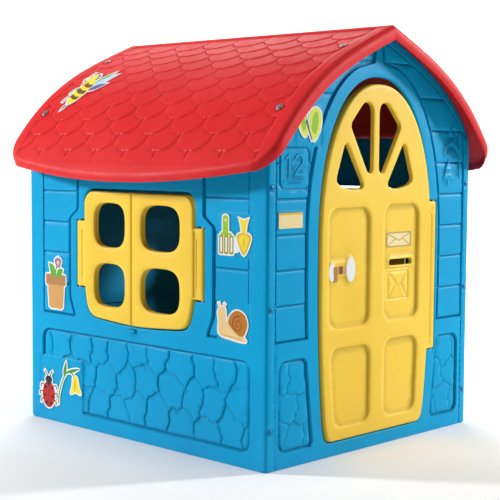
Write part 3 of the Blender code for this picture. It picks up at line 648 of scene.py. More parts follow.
def ramp(tree, source, stops):
    made = tree.nodes.new("ShaderNodeValToRGB")
    elements = made.color_ramp.elements
    while len(elements) < len(stops):
        elements.new(0.5)
    for element, (position, colour) in zip(elements, stops):
        element.position = position
        element.color = (*colour, 1.0) if len(colour) == 3 else colour
    tree.links.new(source, made.inputs["Fac"])
    return made.outputs["Color"]


def mixed(tree, share, a, b):
    """A colour mix. The share is a socket, and each colour is a socket or a tuple."""
    made = tree.nodes.new("ShaderNodeMix")
    made.data_type = "RGBA"
    tree.links.new(share, made.inputs["Factor"])
    for socket, value in ((made.inputs["A"], a), (made.inputs["B"], b)):
        if isinstance(value, tuple):
            socket.default_value = (*value, 1.0)
        else:
            tree.links.new(value, socket)
    return made.outputs["Result"]


def shade(colour, share):
    return tuple(min(1.0, c * share) for c in colour)


def plastic(
    name, colour, pale, deep, rough=(0.38, 0.52), grain=0.10, dust=0.10, wear=0.15, crease_shade=0.60, gloss=0.20
):
    """Moulded plastic: colour drift, worn edges, painted shade darkening the concave creases and joints,
    dust low down, grain and scuffs.
    """
    made = bpy.data.materials.new(name)
    made.use_nodes = True
    tree = made.node_tree
    shader = tree.nodes["Principled BSDF"]
    where = tree.nodes.new("ShaderNodeTexCoord").outputs["Object"]

    def noise(scale, detail=3.0, rough=0.55, distortion=0.0):
        found = node(
            tree, "ShaderNodeTexNoise", Scale=scale, Detail=detail, Roughness=rough, Distortion=distortion
        )
        tree.links.new(where, found.inputs["Vector"])
        return found.outputs["Fac"]

    drift = ramp(tree, noise(2.6, 4.0), [(0.30, deep), (0.52, colour), (0.74, pale)])
    specks = ramp(tree, noise(420.0, 2.0, 0.7), [(0.30, (1, 1, 1)), (0.72, (0, 0, 0))])
    speckled = mixed(
        tree,
        ramp(tree, noise(60.0, 5.0), [(0.55, (0, 0, 0)), (0.85, (0.10,) * 3)]),
        drift,
        shade(deep, 0.8),
    )
    edges = tree.nodes.new("ShaderNodeNewGeometry").outputs["Pointiness"]
    # Painted shade: where the pointiness shows a concave crease or joint, the colour is darkened towards a
    # deep tone
    crease_shaded = mixed(
        tree, ramp(tree, edges, [(0.455, (crease_shade,) * 3), (0.496, (0, 0, 0))]), speckled, shade(deep, 0.30)
    )
    worn = mixed(
        tree, ramp(tree, edges, [(0.515, (0, 0, 0)), (0.60, (wear,) * 3)]), crease_shaded, shade(pale, 1.25)
    )
    split = tree.nodes.new("ShaderNodeSeparateXYZ")
    tree.links.new(where, split.inputs[0])
    low = node(tree, "ShaderNodeMapRange")
    low.inputs["From Min"].default_value = 0.20
    low.inputs["From Max"].default_value = 0.0
    low.inputs["To Max"].default_value = dust
    tree.links.new(split.outputs["Z"], low.inputs["Value"])
    patchy = node(tree, "ShaderNodeMath", operation="MULTIPLY")
    tree.links.new(low.outputs["Result"], patchy.inputs[0])
    tree.links.new(noise(9.0, 6.0, 0.65), patchy.inputs[1])
    dusty = mixed(tree, patchy.outputs["Value"], worn, DUST)
    tree.links.new(dusty, shader.inputs["Base Color"])

    scuffs = noise(14.0, 8.0, 0.72, 1.4)
    roughness = node(tree, "ShaderNodeMapRange")
    roughness.inputs["From Min"].default_value = 0.35
    roughness.inputs["From Max"].default_value = 0.70
    roughness.inputs["To Min"].default_value = rough[0]
    roughness.inputs["To Max"].default_value = rough[1]
    tree.links.new(scuffs, roughness.inputs["Value"])
    tree.links.new(roughness.outputs["Result"], shader.inputs["Roughness"])

    fine = node(tree, "ShaderNodeBump", Strength=grain, Distance=0.0006)
    tree.links.new(specks, fine.inputs["Height"])
    wavy = node(tree, "ShaderNodeBump", Strength=0.10, Distance=0.004)
    tree.links.new(noise(11.0, 2.0), wavy.inputs["Height"])
    tree.links.new(fine.outputs["Normal"], wavy.inputs["Normal"])
    tree.links.new(wavy.outputs["Normal"], shader.inputs["Normal"])
    shader.inputs["Specular IOR Level"].default_value = gloss
    return made


def vinyl(name, colour):
    """Printed film: a print's fine dot variation, faint fading and small creases."""
    return plastic(
        name, colour, shade(
            colour, 1.06
        ), shade(colour, 0.92), rough=(0.34, 0.46), grain=0.04, dust=0.0, wear=0.05, crease_shade=0.0
    )


def metal(name, colour):
    """Zinc-plated steel with brushed and spotted roughness."""
    made = plastic(
        name,
        colour,
        shade(colour, 1.25),
        shade(colour, 0.7),
        rough=(0.22, 0.42),
        grain=0.05,
        dust=0.0,
        gloss=0.5,
    )
    made.node_tree.nodes["Principled BSDF"].inputs["Metallic"].default_value = 0.85
    return made


WALL = plastic(
    "wall_plastic_look",
    (0.0, 0.350, 0.655),
    (0.001, 0.385, 0.702),
    (0.0, 0.317, 0.606),
    dust=0.06,
    gloss=0.07,
)
ROOF = plastic(
    "roof_plastic_look",
    (0.710, 0.022, 0.025),
    (0.745, 0.028, 0.031),
    (0.665, 0.016, 0.019),
    rough=(0.46, 0.60),
    gloss=0.11,
)
LEAF = plastic(
    "leaf_plastic_look", (0.920, 0.610, 0.052), (0.945, 0.650, 0.066), (0.880, 0.560, 0.038), crease_shade=0.55
)
INSIDES = {
    outside.name: plastic(name, *tones, wear=0.0, crease_shade=0.0)
    for outside, name, *tones in (
        (WALL, "wall_inside_look", (0.0, 0.320, 0.605), (0.001, 0.352, 0.650), (0.0, 0.290, 0.560)),
        (ROOF, "roof_inside_look", (0.680, 0.024, 0.028), (0.715, 0.031, 0.035), (0.635, 0.018, 0.022)),
        (LEAF, "leaf_inside_look", (0.915, 0.605, 0.052), (0.940, 0.645, 0.066), (0.875, 0.555, 0.038)),
    )
}
PIN = plastic("pin_plastic_look", (0.72, 0.72, 0.70), (0.78, 0.78, 0.76), (0.62, 0.62, 0.60), dust=0.05)
STEEL = metal("screw_steel_look", (0.46, 0.47, 0.49))
CAP = plastic(
    "screw_cap_look", (0.0, 0.285, 0.600), (0.005, 0.33, 0.66), (0.0, 0.24, 0.52), rough=(0.26, 0.40)
)


# -------------------------------------------------------------------- walls


def roof_z(x):
    x = np.abs(x)
    return RIDGE_Z - ROOF_SLOPE * x - ROOF_CURL * x**ROOF_POWER


def roof_slope(x):
    return ROOF_SLOPE + ROOF_CURL * ROOF_POWER * np.abs(x) ** (ROOF_POWER - 1)


def door_half_width(z):
    low = np.maximum(0.0, (0.5 - np.asarray(z)) / 0.43)
    return DOOR_HALF - DOOR_TAPER * low * low


def arch_half_width(z, grow, rise):
    """Half width of the arched door at a height above its spring, grown by a band."""
    share = np.clip((np.asarray(z) - DOOR_SPRING) / rise, 0, 1)
    arched = (DOOR_HALF + grow) * (1 - share**DOOR_POWER) ** (1 / DOOR_POWER)
    return np.where(z > DOOR_SPRING, arched, door_half_width(z) + grow)


def door_outline(grow=0.0, top_grow=None, lobe=(DOOR_LOBE_X, *DOOR_LOBE)):
    """The arched door with its hinge lobe, counter-clockwise from its foot."""
    top_grow = grow if top_grow is None else top_grow
    radius = 0.030 + grow
    foot = DOOR_LOW - grow
    half = float(door_half_width(foot)) + grow
    lobe_x, lobe_low, lobe_high = lobe
    right = arc(half - radius, foot + radius, radius, -90, 0, 8)
    sides = [
        (float(door_half_width(z)) + grow, z)
        for z in np.linspace(foot + radius + 0.02, DOOR_SPRING - 0.01, 26)
    ]
    arch = []
    for k in range(41):
        angle = math.pi * k / 40
        c, s = math.cos(angle), math.sin(angle)
        x = (DOOR_HALF + grow) * math.copysign(abs(c) ** (2 / DOOR_POWER), c)
        arch.append((x, DOOR_SPRING + (DOOR_RISE + top_grow) * abs(s) ** (2 / DOOR_POWER)))
    left = [(-x, z) for x, z in reversed(sides)] + [(-x, z) for x, z in reversed(right)]
    whole = np.array(right + sides + arch + left)
    jog = 0.005
    low_x = float(door_half_width(lobe_low)) + grow
    high_x = float(arch_half_width(lobe_high, grow, DOOR_RISE + top_grow))
    lobe_points = [
        (low_x, lobe_low),
        *arc(lobe_x - jog, lobe_low + jog, jog, -90, 0, 4),
        *arc(lobe_x - jog, lobe_high - jog, jog, 0, 90, 4),
        (high_x, lobe_high),
    ]
    x, z = whole[:, 0], whole[:, 1]
    before = whole[(x > 0) & (z < lobe_low - 0.004)]
    after = whole[~((x > 0) & (z < lobe_high + 0.004))]
    return np.vstack([before, lobe_points, after])


def door_zone(channel=0.0):
    """The board zone beside the door band, on the +u side; the channel keeps clear of its band side."""
    outer = GABLE_HALF - ZONE_INSET - channel * 0.25
    tip = 0.010 + channel
    top = [(x, float(roof_z(x)) - RAKE_RIM - channel * 0.3) for x in np.linspace(outer, tip, 26)]
    grow, rise = BAND_WIDTH + channel, DOOR_RISE + BAND_WIDTH + 0.012 + channel
    low = BOARD_Z - BOARD_FOOT + channel * 0.45
    arch = []
    curved = np.linspace(DOOR_SPRING + rise - 0.0004, DOOR_SPRING, 30)
    straight = np.linspace(DOOR_SPRING - 0.02, low, 14)
    for z in np.concatenate([curved, straight]):
        arch.append((max(float(arch_half_width(z, grow, rise)), tip + 0.008), z))
    return np.array([(outer, low), *top, *arch])


def board_face(points):
    """Lapped boards: a nearly flat face, and a narrow deep groove under the next board."""
    above = (points[:, 1] - BOARD_Z) % BOARD_PITCH
    left = BOARD_PITCH - above
    groove = smooth((LAP_WIDTH - left) / (LAP_WIDTH * LAP_SOFT))
    proud = -LIP - BOARD_LEAN * above / BOARD_PITCH - TOE_DEPTH * (1 - smooth(above / TOE_HEIGHT))
    lifted = proud - (POCKET - LIP - BOARD_LEAN) * groove
    return -POCKET + (lifted + POCKET) * smooth(above / BOARD_RISE)


def add_boards(relief, back, zone, boards, top):
    """A recessed zone, and the lapped boards that stand in it."""
    relief.press(zone, -POCKET, 0.003, step=0.006)
    relief.press(boards, board_face, 0.003, step=0.004)
    back.press(offset(counter_clockwise(zone), 0.004), -POCKET, 0.002, step=0.008, fine=False)
    low, high = boards.min(0), boards.max(0)
    for z in np.arange(BOARD_Z, top, BOARD_PITCH):
        for step in BOARD_ROWS:
            line = np.array([(low[0], z + step), (high[0], z + step)])
            points = resample(line, 0.007, False)
            relief.rows.append(points[inside(offset(counter_clockwise(boards), -0.001), points)])


def stone_seeds(low, high, columns, rows, seed):
    """Uneven seeds for a course of stones."""
    draw = random.Random(seed)
    width, height = (high[0] - low[0]) / columns, (high[1] - low[1]) / rows
    seeds = []
    for j in range(rows):
        for i in range(-1, columns + 2):
            x = low[0] + (i + 0.5 * (j % 2) + draw.uniform(-0.24, 0.24)) * width
            y = low[1] + (j + 0.5 + draw.uniform(-0.22, 0.22)) * height
            seeds.append((x, y, draw.uniform(-0.0005, 0.0005)))
    return np.array(seeds)


def warp(points):
    """Bends straight stone joints a little."""
    x, y = points[:, 0], points[:, 1]
    dx = 0.0040 * np.sin(y * 95 + 31 * x) + 0.0018 * np.sin(y * 210 - x * 47)
    dy = 0.0040 * np.sin(x * 88 + 1.3 - 23 * y) + 0.0018 * np.sin(x * 190 + y * 61)
    return points + np.column_stack([dx, dy])


def add_stones(relief, back, pocket, columns, rows, seed):
    """A pocket of irregular stones, each leaning so that its lower right edge stands proud."""
    pocket = counter_clockwise(pocket)
    low, high = pocket.min(0), pocket.max(0)
    seeds = stone_seeds(low, high, columns, rows, seed)
    relief.press(pocket, -POCKET, 0.0035, step=0.005)
    back.press(offset(pocket, 0.004), -POCKET, 0.002, step=0.008, fine=False)
    lean = np.array(STONE_LEAN_WAY)
    pitch = (high[0] - low[0]) / columns

    def nearest(points):
        bent = warp(points)
        squared = ((bent[:, None, :] - seeds[None, :, :2]) ** 2).sum(2)
        order = np.argsort(squared, axis=1)[:, :2]
        first, second = order[:, 0], order[:, 1]
        rows_at = np.arange(len(points))
        apart = np.linalg.norm(seeds[first, :2] - seeds[second, :2], axis=1)
        border = (squared[rows_at, second] - squared[rows_at, first]) / (2 * apart)
        return bent, first, second, border

    def level(bent, which):
        rise = ((bent - seeds[which, :2]) @ lean) / pitch
        return STONE_LEAN * np.clip(rise, -0.55, 0.62) + seeds[which, 2] + POCKET * STONE_LIFT

    def change(points):
        bent, first, second, border = nearest(points)
        share = 0.5 + 0.5 * smooth(border / 0.0011)
        joint = -STONE_JOINT * (1 - smooth(border / STONE_JOINT_HALF))
        return level(bent, first) * share + level(bent, second) * (1 - share) + joint

    relief.cells(pocket, change)
    for inset in (-0.0055, -0.0070, -0.0085, -0.0105):
        relief.row(offset(pocket, inset), 0.005)
    grid = hex_grid(low, high, 0.0022)
    grid = grid[inside(pocket, grid)]
    border = nearest(grid)[3]
    draw = np.random.default_rng(seed)
    near = (border < 0.0036) | (draw.random(len(grid)) < 0.045)
    relief.rows.append(grid[near & ((border < 0.0020) | (draw.random(len(grid)) < 0.55))])


def sticker_pad(relief, node_name, across):
    """A flat moulded pad behind a sticker, from the sticker's own box."""
    low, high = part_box(node_name)
    x0, x1 = sorted((across(low), across(high)))
    pad = rounded_box(x0 - PAD_GROW, x1 + PAD_GROW, low.z - PAD_GROW, high.z + PAD_GROW, 0.012)
    relief.press(pad, -LIP, 0.006)


def add_screw_dimples(relief, u_places):
    for u in u_places:
        for z in CORNER_SCREW_HEIGHTS:
            relief.press(ellipse(u, z, DIMPLE_RADIUS), -DIMPLE_DEPTH, 0.0012, step=0.003)
            relief.press(ellipse(u, z, DIMPLE_RADIUS - 0.002), 0.0, 0.0010, step=0.003)


def gable_outline():
    drop = SHEET + 0.0025
    points = []
    for x in np.linspace(GABLE_EDGE, -GABLE_EDGE, 61):
        slope = math.copysign(float(roof_slope(x)), x) if abs(x) > 1e-6 else 0.0
        length = math.hypot(slope, 1)
        points.append((x - slope / length * drop, float(roof_z(x)) - drop / length))
    points = [(max(-GABLE_EDGE, min(GABLE_EDGE, x)), z) for x, z in points]
    return np.array([(GABLE_EDGE, 0.0), *points, (-GABLE_EDGE, 0.0)])


def gable_reliefs():
    """The relief and back of a gable wall, stepped in behind the side walls' returns."""
    relief, back = Relief(0.012), Relief(0.06)
    for side in (-1, 1):
        u0, u1 = sorted((side * GABLE_HALF, side * (GABLE_EDGE + 0.02)))
        edge = strip(u0, u1, -0.05, 1.1)
        relief.press(edge, -TONGUE_DEPTH, 0.0008, step=0.02)
        back.press(edge, -TONGUE_DEPTH, 0.0008, step=0.012, fine=False)
    return relief, back


def number_plate(relief):
    """A raised plate with clipped corners, with a plain house number in relief."""
    (x0, x1, z0, z1), clip = PLATE, PLATE_CLIP
    outline = [(x0 + clip, z0), (x1 - clip, z0), (x1, z0 + clip), (x1, z1 - clip)]
    outline += [(x1 - clip, z1), (x0 + clip, z1), (x0, z1 - clip), (x0, z0 + clip)]
    relief.press(outline, -PLATE_GROOVE, 0.002)
    relief.press(offset(counter_clockwise(outline), -PLATE_RIM), -PLATE_FACE, 0.002)
    one = [(-0.390, 0.825), (-0.376, 0.837), (-0.376, 0.784)]
    two = arc(-0.337, 0.822, 0.0155, 165, -38, 12) + [(-0.3535, 0.7845), (-0.320, 0.7845)]
    for line in (one, two):
        relief.stroke(line, DIGIT_WIDTH, DIGIT_HEIGHT)
    for half, z in ((0.034, 0.768), (0.022, 0.7585)):
        relief.stroke([(-0.3535 - half, z), (-0.3535 + half, z)], 0.0034, 0.0010)


def bell_bracket(relief):
    """A scrolled bracket with a small hand bell under it, in relief on the boards."""
    level = 0.0002
    arm = curve_through(
        [
            (0.402, 0.842), (0.385, 0.862), (0.362, 0.872), (0.338, 0.866), (0.324, 0.848), (0.330, 0.832),
            (0.345, 0.832),
        ],
        8,
    )
    turns = np.linspace(-1.6, 4.6, 40)
    reach = 0.022 - 0.0030 * turns
    scroll = np.column_stack([0.366 + reach * np.cos(turns) * 0.8, 0.905 + reach * np.sin(turns)])
    post = [(0.404, 0.775), (0.404, 0.900)]
    for line, width in ((arm, 0.007), (scroll, 0.006), (post, 0.008)):
        relief.stroke(line, width, level)
    relief.stroke([(0.345, 0.832), (0.345, 0.812)], 0.004, level)
    bell = curve_through(
        [
            (0.345, 0.815), (0.357, 0.806), (0.361, 0.785), (0.370, 0.768), (0.345, 0.763), (0.320, 0.768),
            (0.329, 0.785), (0.333, 0.806),
        ],
        5,
        True,
    )
    relief.press(bell, level, 0.003, step=0.003)
    relief.stroke([(0.327, 0.7765), (0.363, 0.7765)], 0.0022, level + 0.0014)
    relief.stroke([(0.331, 0.795), (0.359, 0.795)], 0.0018, level + 0.0012)
    relief.press(superellipse(0.339, 0.351, 0.750, 0.762), level, 0.002, step=0.003)


def stone_pocket_by_door():
    inner_low = float(door_half_width(STONE_LOW)) + BAND_WIDTH
    inner_high = float(door_half_width(STONE_HIGH)) + BAND_WIDTH
    outer = GABLE_STONE_EDGE
    points = [(inner_low + 0.012, STONE_LOW)]
    points += arc(outer - STONE_RADIUS, STONE_LOW + STONE_RADIUS, STONE_RADIUS, -90, 0, 6)
    points += arc(outer - STONE_RADIUS, STONE_HIGH - STONE_RADIUS, STONE_RADIUS, 0, 90, 6)
    points += [
        (inner_high + 0.018, STONE_HIGH),
        (inner_high + 0.006, STONE_HIGH - 0.012),
        (inner_low + 0.002, STONE_LOW + 0.014),
    ]
    return np.array(points)


def socket_blocks(back, x, low, high, clear):
    """The thicker places behind a wall that hold the pins, below and above a hinge lobe."""
    for z0, z1 in ((low - clear - SOCKET_HEIGHT, low - clear), (high + clear, high + clear + SOCKET_HEIGHT)):
        block = rounded_box(x - SOCKET_HALF, x + SOCKET_HALF, z0, z1, 0.002, 2)
        back.press(block, -SOCKET_PROUD, 0.001, step=0.008, fine=False)


def wall_edges(outline, hole=None):
    edges = [Edge(outline, 0.0012, step=0.012)]
    if hole is not None:
        edges.append(Edge(hole, HOLE_EDGE, HOLE_DROP, hole=True, step=0.006))
    return edges


PLACES = {
    "front": ((0, -HALF_DEPTH, 0), 0),
    "rear": ((0, HALF_DEPTH, 0), 180),
    "left": ((-HALF_WIDTH, 0, 0), -90),
    "right": ((HALF_WIDTH, 0, 0), 90),
}


def make_front_wall():
    relief, back = gable_reliefs()
    for side in (1, -1):
        zone, boards, pocket = door_zone(), door_zone(0.010), stone_pocket_by_door()
        if side < 0:
            zone, boards, pocket = mirrored(zone), mirrored(boards), mirrored(pocket)
        add_boards(relief, back, zone, boards, 1.16)
        add_stones(relief, back, pocket, 2, 3, 11 + side)
    number_plate(relief)
    bell_bracket(relief)
    for name in ("butterfly_sticker", "label_sticker"):
        sticker_pad(relief, name, lambda corner: corner.x)
    lobe = (DOOR_LOBE_X + LOBE_SIDE_CLEAR, DOOR_LOBE[0] - DOOR_CLEAR, DOOR_LOBE[1] + DOOR_CLEAR)
    opening = door_outline(DOOR_CLEAR, DOOR_TOP_CLEAR, lobe)
    socket_blocks(back, DOOR_HINGE_X, *DOOR_LOBE, DOOR_CLEAR)
    edges = wall_edges(gable_outline(), opening)
    return shell("front_wall_moulding", edges, relief, back, flat_surface(PLACES["front"]), WALL)


def make_rear_wall():
    relief, back = gable_reliefs()
    half = GABLE_HALF - ZONE_INSET

    def zone(inset):
        top = [
            (x, float(roof_z(x)) - RAKE_RIM - inset)
            for x in np.linspace(half - inset, -half + inset, 51)
        ]
        low = BOARD_Z - BOARD_FOOT + inset * 0.45
        return np.array([(-half + inset, low), (half - inset, low), *top])

    add_boards(relief, back, zone(0), zone(0.004), 1.16)
    pocket = rounded_box(-GABLE_STONE_EDGE, GABLE_STONE_EDGE, STONE_LOW, STONE_HIGH, STONE_RADIUS)
    add_stones(relief, back, pocket, 9, 3, 23)
    edges = wall_edges(gable_outline())
    return shell("rear_wall_moulding", edges, relief, back, flat_surface(PLACES["rear"]), WALL)


def leaf_bottom(x):
    return LEAF_LOW + 0.012 * (np.abs(x) / 0.197) ** 1.5


def leaf_side(grow, top_grow, lobe_x, lobe_clear):
    """Half of the window's outline, on the +x side, from the middle of its foot to the middle of its top."""
    top, half = LEAF_TOP + top_grow, LEAF_HALF + grow
    foot = [(x, float(leaf_bottom(x)) - grow) for x in (0.0, 0.060, 0.120, 0.175)]
    foot += [(0.200 + grow * 0.4, 0.3535 - grow), (0.218 + grow * 0.8, 0.370 - grow * 0.6)]
    foot += [(0.2285 + grow, 0.400), (0.2345 + grow, 0.4315 - lobe_clear)]
    points = list(map(tuple, curve_through(foot, 5)))
    jog = 0.004
    low, high = LEAF_LOBE[0] - lobe_clear, LEAF_LOBE[1] + lobe_clear
    points += [(0.2348 + grow, low)]
    points += arc(lobe_x - jog, low + jog, jog, -90, 0, 3) + arc(lobe_x - jog, high - jog, jog, 0, 90, 3)
    points += [(half, high)]
    points += arc(half - LEAF_CORNER, top - LEAF_CORNER, LEAF_CORNER, 0, 90, 8)
    return points + [(0.0, top)]


def side_zone(channel=0.0):
    """The board zone between the window band and the corner band, on the +u side."""
    outer = HALF_DEPTH - 0.055 - 0.012 - channel * 0.2
    low, top = BOARD_Z - BOARD_FOOT + channel * 0.45, SIDE_TOP - 0.02 - channel * 0.3
    return rounded_corners([
        (0.285 + channel, low),
        (outer, low),
        (outer, top),
        (0.268 + channel, top),
        (0.270 + channel, 0.668),
        (0.309 + channel, 0.640),
        (0.309 + channel, 0.400),
    ], 0.008)


def make_side_wall(word):
    relief, back = Relief(0.013), Relief(0.06)
    for side in (1, -1):
        zone, boards = side_zone(), side_zone(0.010)
        if side < 0:
            zone, boards = mirrored(zone), mirrored(boards)
        add_boards(relief, back, zone, boards, SIDE_TOP - 0.03)
    pocket = rounded_box(-SIDE_STONE_EDGE, SIDE_STONE_EDGE, STONE_LOW, STONE_HIGH, STONE_RADIUS)
    add_stones(relief, back, pocket, 10, 3, 5 if word == "left" else 8)
    flip = -1 if word == "left" else 1
    if word == "left":
        for name in ("garden_tools_sticker", "snail_sticker", "flowerpot_sticker", "ladybird_sticker"):
            sticker_pad(relief, name, lambda corner: -corner.y)
    arc_length = CORNER_RADIUS * math.pi / 2
    flat = HALF_DEPTH - CORNER_RADIUS
    screw_u = flat + arc_length + (0.0165 - CORNER_RADIUS)
    add_screw_dimples(relief, (-screw_u, screw_u))
    for side in (-1, 1):
        for a in (0, 0.25, 0.5, 0.75, 1.0):
            u = side * (flat + arc_length * a)
            relief.row([(u, 0.0), (u, SIDE_TOP)], 0.012, False)
            back.row([(u, 0.0), (u, SIDE_TOP)], 0.05, False)
        socket_blocks(back, side * (LEAF_LOBE_X - BARREL), *LEAF_LOBE, LEAF_CLEAR)
    catch = flip * LEAF_SPLIT
    relief.press(strip(catch - CATCH_HALF, catch + CATCH_HALF, *CATCH_HEIGHTS), CATCH_PROUD, 0.0012)
    reach = flat + arc_length + RETURN - CORNER_RADIUS
    outline = strip(-reach, reach, 0, SIDE_TOP)
    half = leaf_side(LEAF_CLEAR, LEAF_CLEAR + 0.004, LEAF_LOBE_X + LOBE_SIDE_CLEAR, LEAF_CLEAR)
    hole = np.vstack([half, mirrored(half)[1:-1]])
    surface = wrapped_surface(PLACES[word], HALF_DEPTH)
    return shell(f"{word}_wall_moulding", wall_edges(outline, hole), relief, back, surface, WALL)


def dress(thing, body, slot, *nodes):
    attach(thing, body)
    if nodes:
        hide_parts(*nodes)
    return thing


dress(make_front_wall(), "shell", "wall_plastic", "front_wall")
dress(make_rear_wall(), "shell", "wall_plastic", "rear_wall")
for word in ("left", "right"):
    dress(make_side_wall(word), "shell", "wall_plastic", f"{word}_wall")


# ------------------------------------------------------------ door and leaves


def fan_openings():
    """The four openings of the door's fan light, mirrored about a line a little left of its middle."""
    inner = [
        (-0.030, 0.795),
        (-0.030, 0.962),
        (-0.037, 0.978),
        (-0.052, 0.985),
        (-0.070, 0.983),
        (-0.083, 0.972),
        (-0.126, 0.926),
        (-0.127, 0.912),
        (-0.054, 0.788),
        (-0.040, 0.784),
    ]
    outer = [
        (-0.072, 0.758),
        (-0.140, 0.866),
        (-0.148, 0.870),
        (-0.156, 0.862),
        (-0.188, 0.775),
        (-0.187, 0.762),
        (-0.165, 0.749),
        (-0.125, 0.741),
        (-0.084, 0.742),
        (-0.074, 0.747),
    ]
    left = [rounded_corners(o, 0.006) for o in (inner, outer)]
    right = [mirrored(o) - np.array([2 * FAN_SHIFT, 0]) for o in left]
    return left + right


def slot_outline():
    (cx, cz), (length, height) = SLOT_CENTRE, SLOT_SIZE
    return rounded_box(
        cx - length / 2, cx + length / 2, cz - height / 2, cz + height / 2, height / 2 - 0.0005, 6
    )


def panel(relief, x0, x1, z0, z1, radius, lean):
    """A sunk panel with soft sides; its foot may lean in."""
    outline = rounded_box(x0, x1, z0, z1, radius, 8)
    share = (z1 - outline[:, 1]) / (z1 - z0)
    if lean:
        outer = outline[:, 0] < (x0 + x1) / 2 if lean > 0 else outline[:, 0] > (x0 + x1) / 2
        outline[outer, 0] += lean * share[outer]
    relief.press(outline, -PANEL_SINK, PANEL_SIDE, step=0.004)
    for share in (-0.35, 0.0, 0.35):
        relief.row(offset(counter_clockwise(outline), share * PANEL_SIDE), 0.004)


def groove(relief, x, low, high, tick):
    """The line moulded at a hinge lobe's root, with a short tick at its top."""
    relief.stroke([(x, low), (x, high)], 0.0022, -LOBE_STEP - 0.0016, soft=0.0016, step=0.004)
    relief.stroke([(x, high), (x + tick, high + 0.0004)], 0.0022, -LOBE_STEP * 0.5 - 0.0012, soft=0.0016)


def make_door():
    relief, back = Relief(0.012), Relief(0.04)
    lobe = strip(DOOR_LOBE_ROOT, 0.32, 0.20, 0.76)
    relief.press(lobe, -LOBE_STEP, 0.003, step=0.006)
    back.press(lobe, -LOBE_STEP, 0.003, step=0.008, fine=False)
    for x0, x1, z0, z1, radius, lean in DOOR_PANELS:
        panel(relief, x0, x1, z0, z1, radius, lean)
        behind = rounded_box(x0 - 0.004, x1 + 0.004, z0 - 0.004, z1 + 0.004, 0.03, 3)
        back.press(behind, -PANEL_SINK, 0.004, step=0.008)
    groove(relief, DOOR_HINGE_X - GROOVE_SETBACK, DOOR_LOBE[0] + 0.040, DOOR_LOBE[1] - 0.034, -0.011)
    (cx, cz), (length, height) = SLOT_CENTRE, SLOT_SIZE
    half_length, half_height = length / 2 + SLOT_COLLAR, height / 2 + SLOT_COLLAR
    collar = rounded_box(cx - half_length, cx + half_length, cz - half_height, cz + half_height, 0.012)
    relief.press(collar, -PANEL_SINK + 0.0012, 0.002, step=0.004)
    floor = -PANEL_SINK - 0.0012
    for line in (
        [(0.052, 0.5085), (0.150, 0.5085)],
        [(0.052, 0.4990), (0.146, 0.4990)],
        [(0.052, 0.4990), (0.052, 0.4200), (0.146, 0.4200), (0.146, 0.4990)],
        [(0.052, 0.4990), (0.099, 0.4560), (0.146, 0.4990)],
        [(0.052, 0.4200), (0.087, 0.4665)],
        [(0.146, 0.4200), (0.111, 0.4665)],
    ):
        relief.stroke(line, 0.0020, floor, soft=0.0016, step=0.003)
    raised = -PANEL_SINK + 0.0016
    relief.press(rounded_box(-0.198, -0.128, 0.503, 0.543, 0.004), raised - 0.0008, 0.002, step=0.004)
    relief.press(superellipse(-0.143, -0.107, 0.484, 0.556, 2.4), raised, 0.0025, step=0.004)
    relief.press(superellipse(-0.216, -0.186, 0.490, 0.545, 2.4), raised, 0.0025, step=0.004)

    def total(loop):
        share = smooth((loop[:, 0] - DOOR_LOBE_ROOT) / LOBE_BLEND)
        return DOOR_DEPTH - LEAF_RIM - DOOR_LOBE_THIN * share

    edges = [Edge(door_outline(), LEAF_RIM, total, step=0.007)]
    edges += [Edge(o, FAN_EDGE, FAN_DROP, hole=True, step=0.005) for o in fan_openings()]
    edges.append(Edge(slot_outline(), SLOT_EDGE, SLOT_DROP, hole=True, step=0.004))
    surface = flat_surface(PLACES["front"], -DOOR_FRONT)
    return shell("door_leaf_moulding", edges, relief, back, surface, LEAF, rings=5)


def make_shutter(wall, word):
    """One shutter leaf; the leaves of the two walls mirror each other."""
    side = 1 if (wall == "left") == (word == "front") else -1
    split = (-LEAF_SPLIT if word == "front" else LEAF_SPLIT) + LEAF_GAP / 2
    panes = (0.020, 0.182) if word == "front" else (0.052, 0.190)
    half = np.array(leaf_side(0.0, 0.0, LEAF_LOBE_X, 0.0))[1:-1]
    half = half[half[:, 0] > split + 0.004]
    outline = np.vstack([[(split, float(leaf_bottom(split)))], half, [(split, LEAF_TOP)]])
    lobe = strip(LEAF_LOBE_ROOT, 0.32, 0.40, 0.67)
    relief, back = Relief(0.012), Relief(0.04)
    flip = (lambda loop: np.array(loop)) if side > 0 else mirrored
    relief.press(flip(lobe), -LOBE_STEP + 0.001, 0.003, step=0.006)
    back.press(flip(lobe), -LOBE_STEP + 0.001, 0.003, step=0.008, fine=False)
    x = side * (LEAF_LOBE_X - BARREL - GROOVE_SETBACK)
    groove(relief, x, LEAF_LOBE[0] + 0.034, LEAF_LOBE[1] - 0.028, -side * 0.009)

    def total(loop):
        share = smooth((np.abs(loop[:, 0]) - LEAF_LOBE_ROOT) / LOBE_BLEND)
        return LEAF_DEPTH - LEAF_RIM - LEAF_LOBE_THIN * share

    edges = [Edge(flip(outline), LEAF_RIM, total, step=0.006)]
    for low, high in PANE_ROWS:
        pane = flip(superellipse(*panes, low, high, 3.2, 64))
        edges.append(Edge(pane, PANE_EDGE, LEAF_DEPTH - PANE_EDGE, hole=True, step=0.006))
        relief.press(offset(counter_clockwise(pane), 0.0105), -0.0007, 0.003, step=0.005)
    surface = flat_surface(PLACES[wall], -LEAF_FRONT)
    return shell(f"{wall}_shutter_{word}_moulding", edges, relief, back, surface, LEAF, rings=5)


# --------------------------------------------------------------------- roof

FINE_X = np.linspace(0.0, 0.62, 3101)
FINE_S = np.concatenate([[0], np.cumsum(np.hypot(np.diff(FINE_X), np.diff(roof_z(FINE_X))))])


def along_roof(x):
    return np.interp(x, FINE_X, FINE_S)


def eave_x(y):
    """Half width of the roof at y, drawn in towards the ends."""
    return EAVE_X - EAVE_BOW * np.asarray(y) ** 2


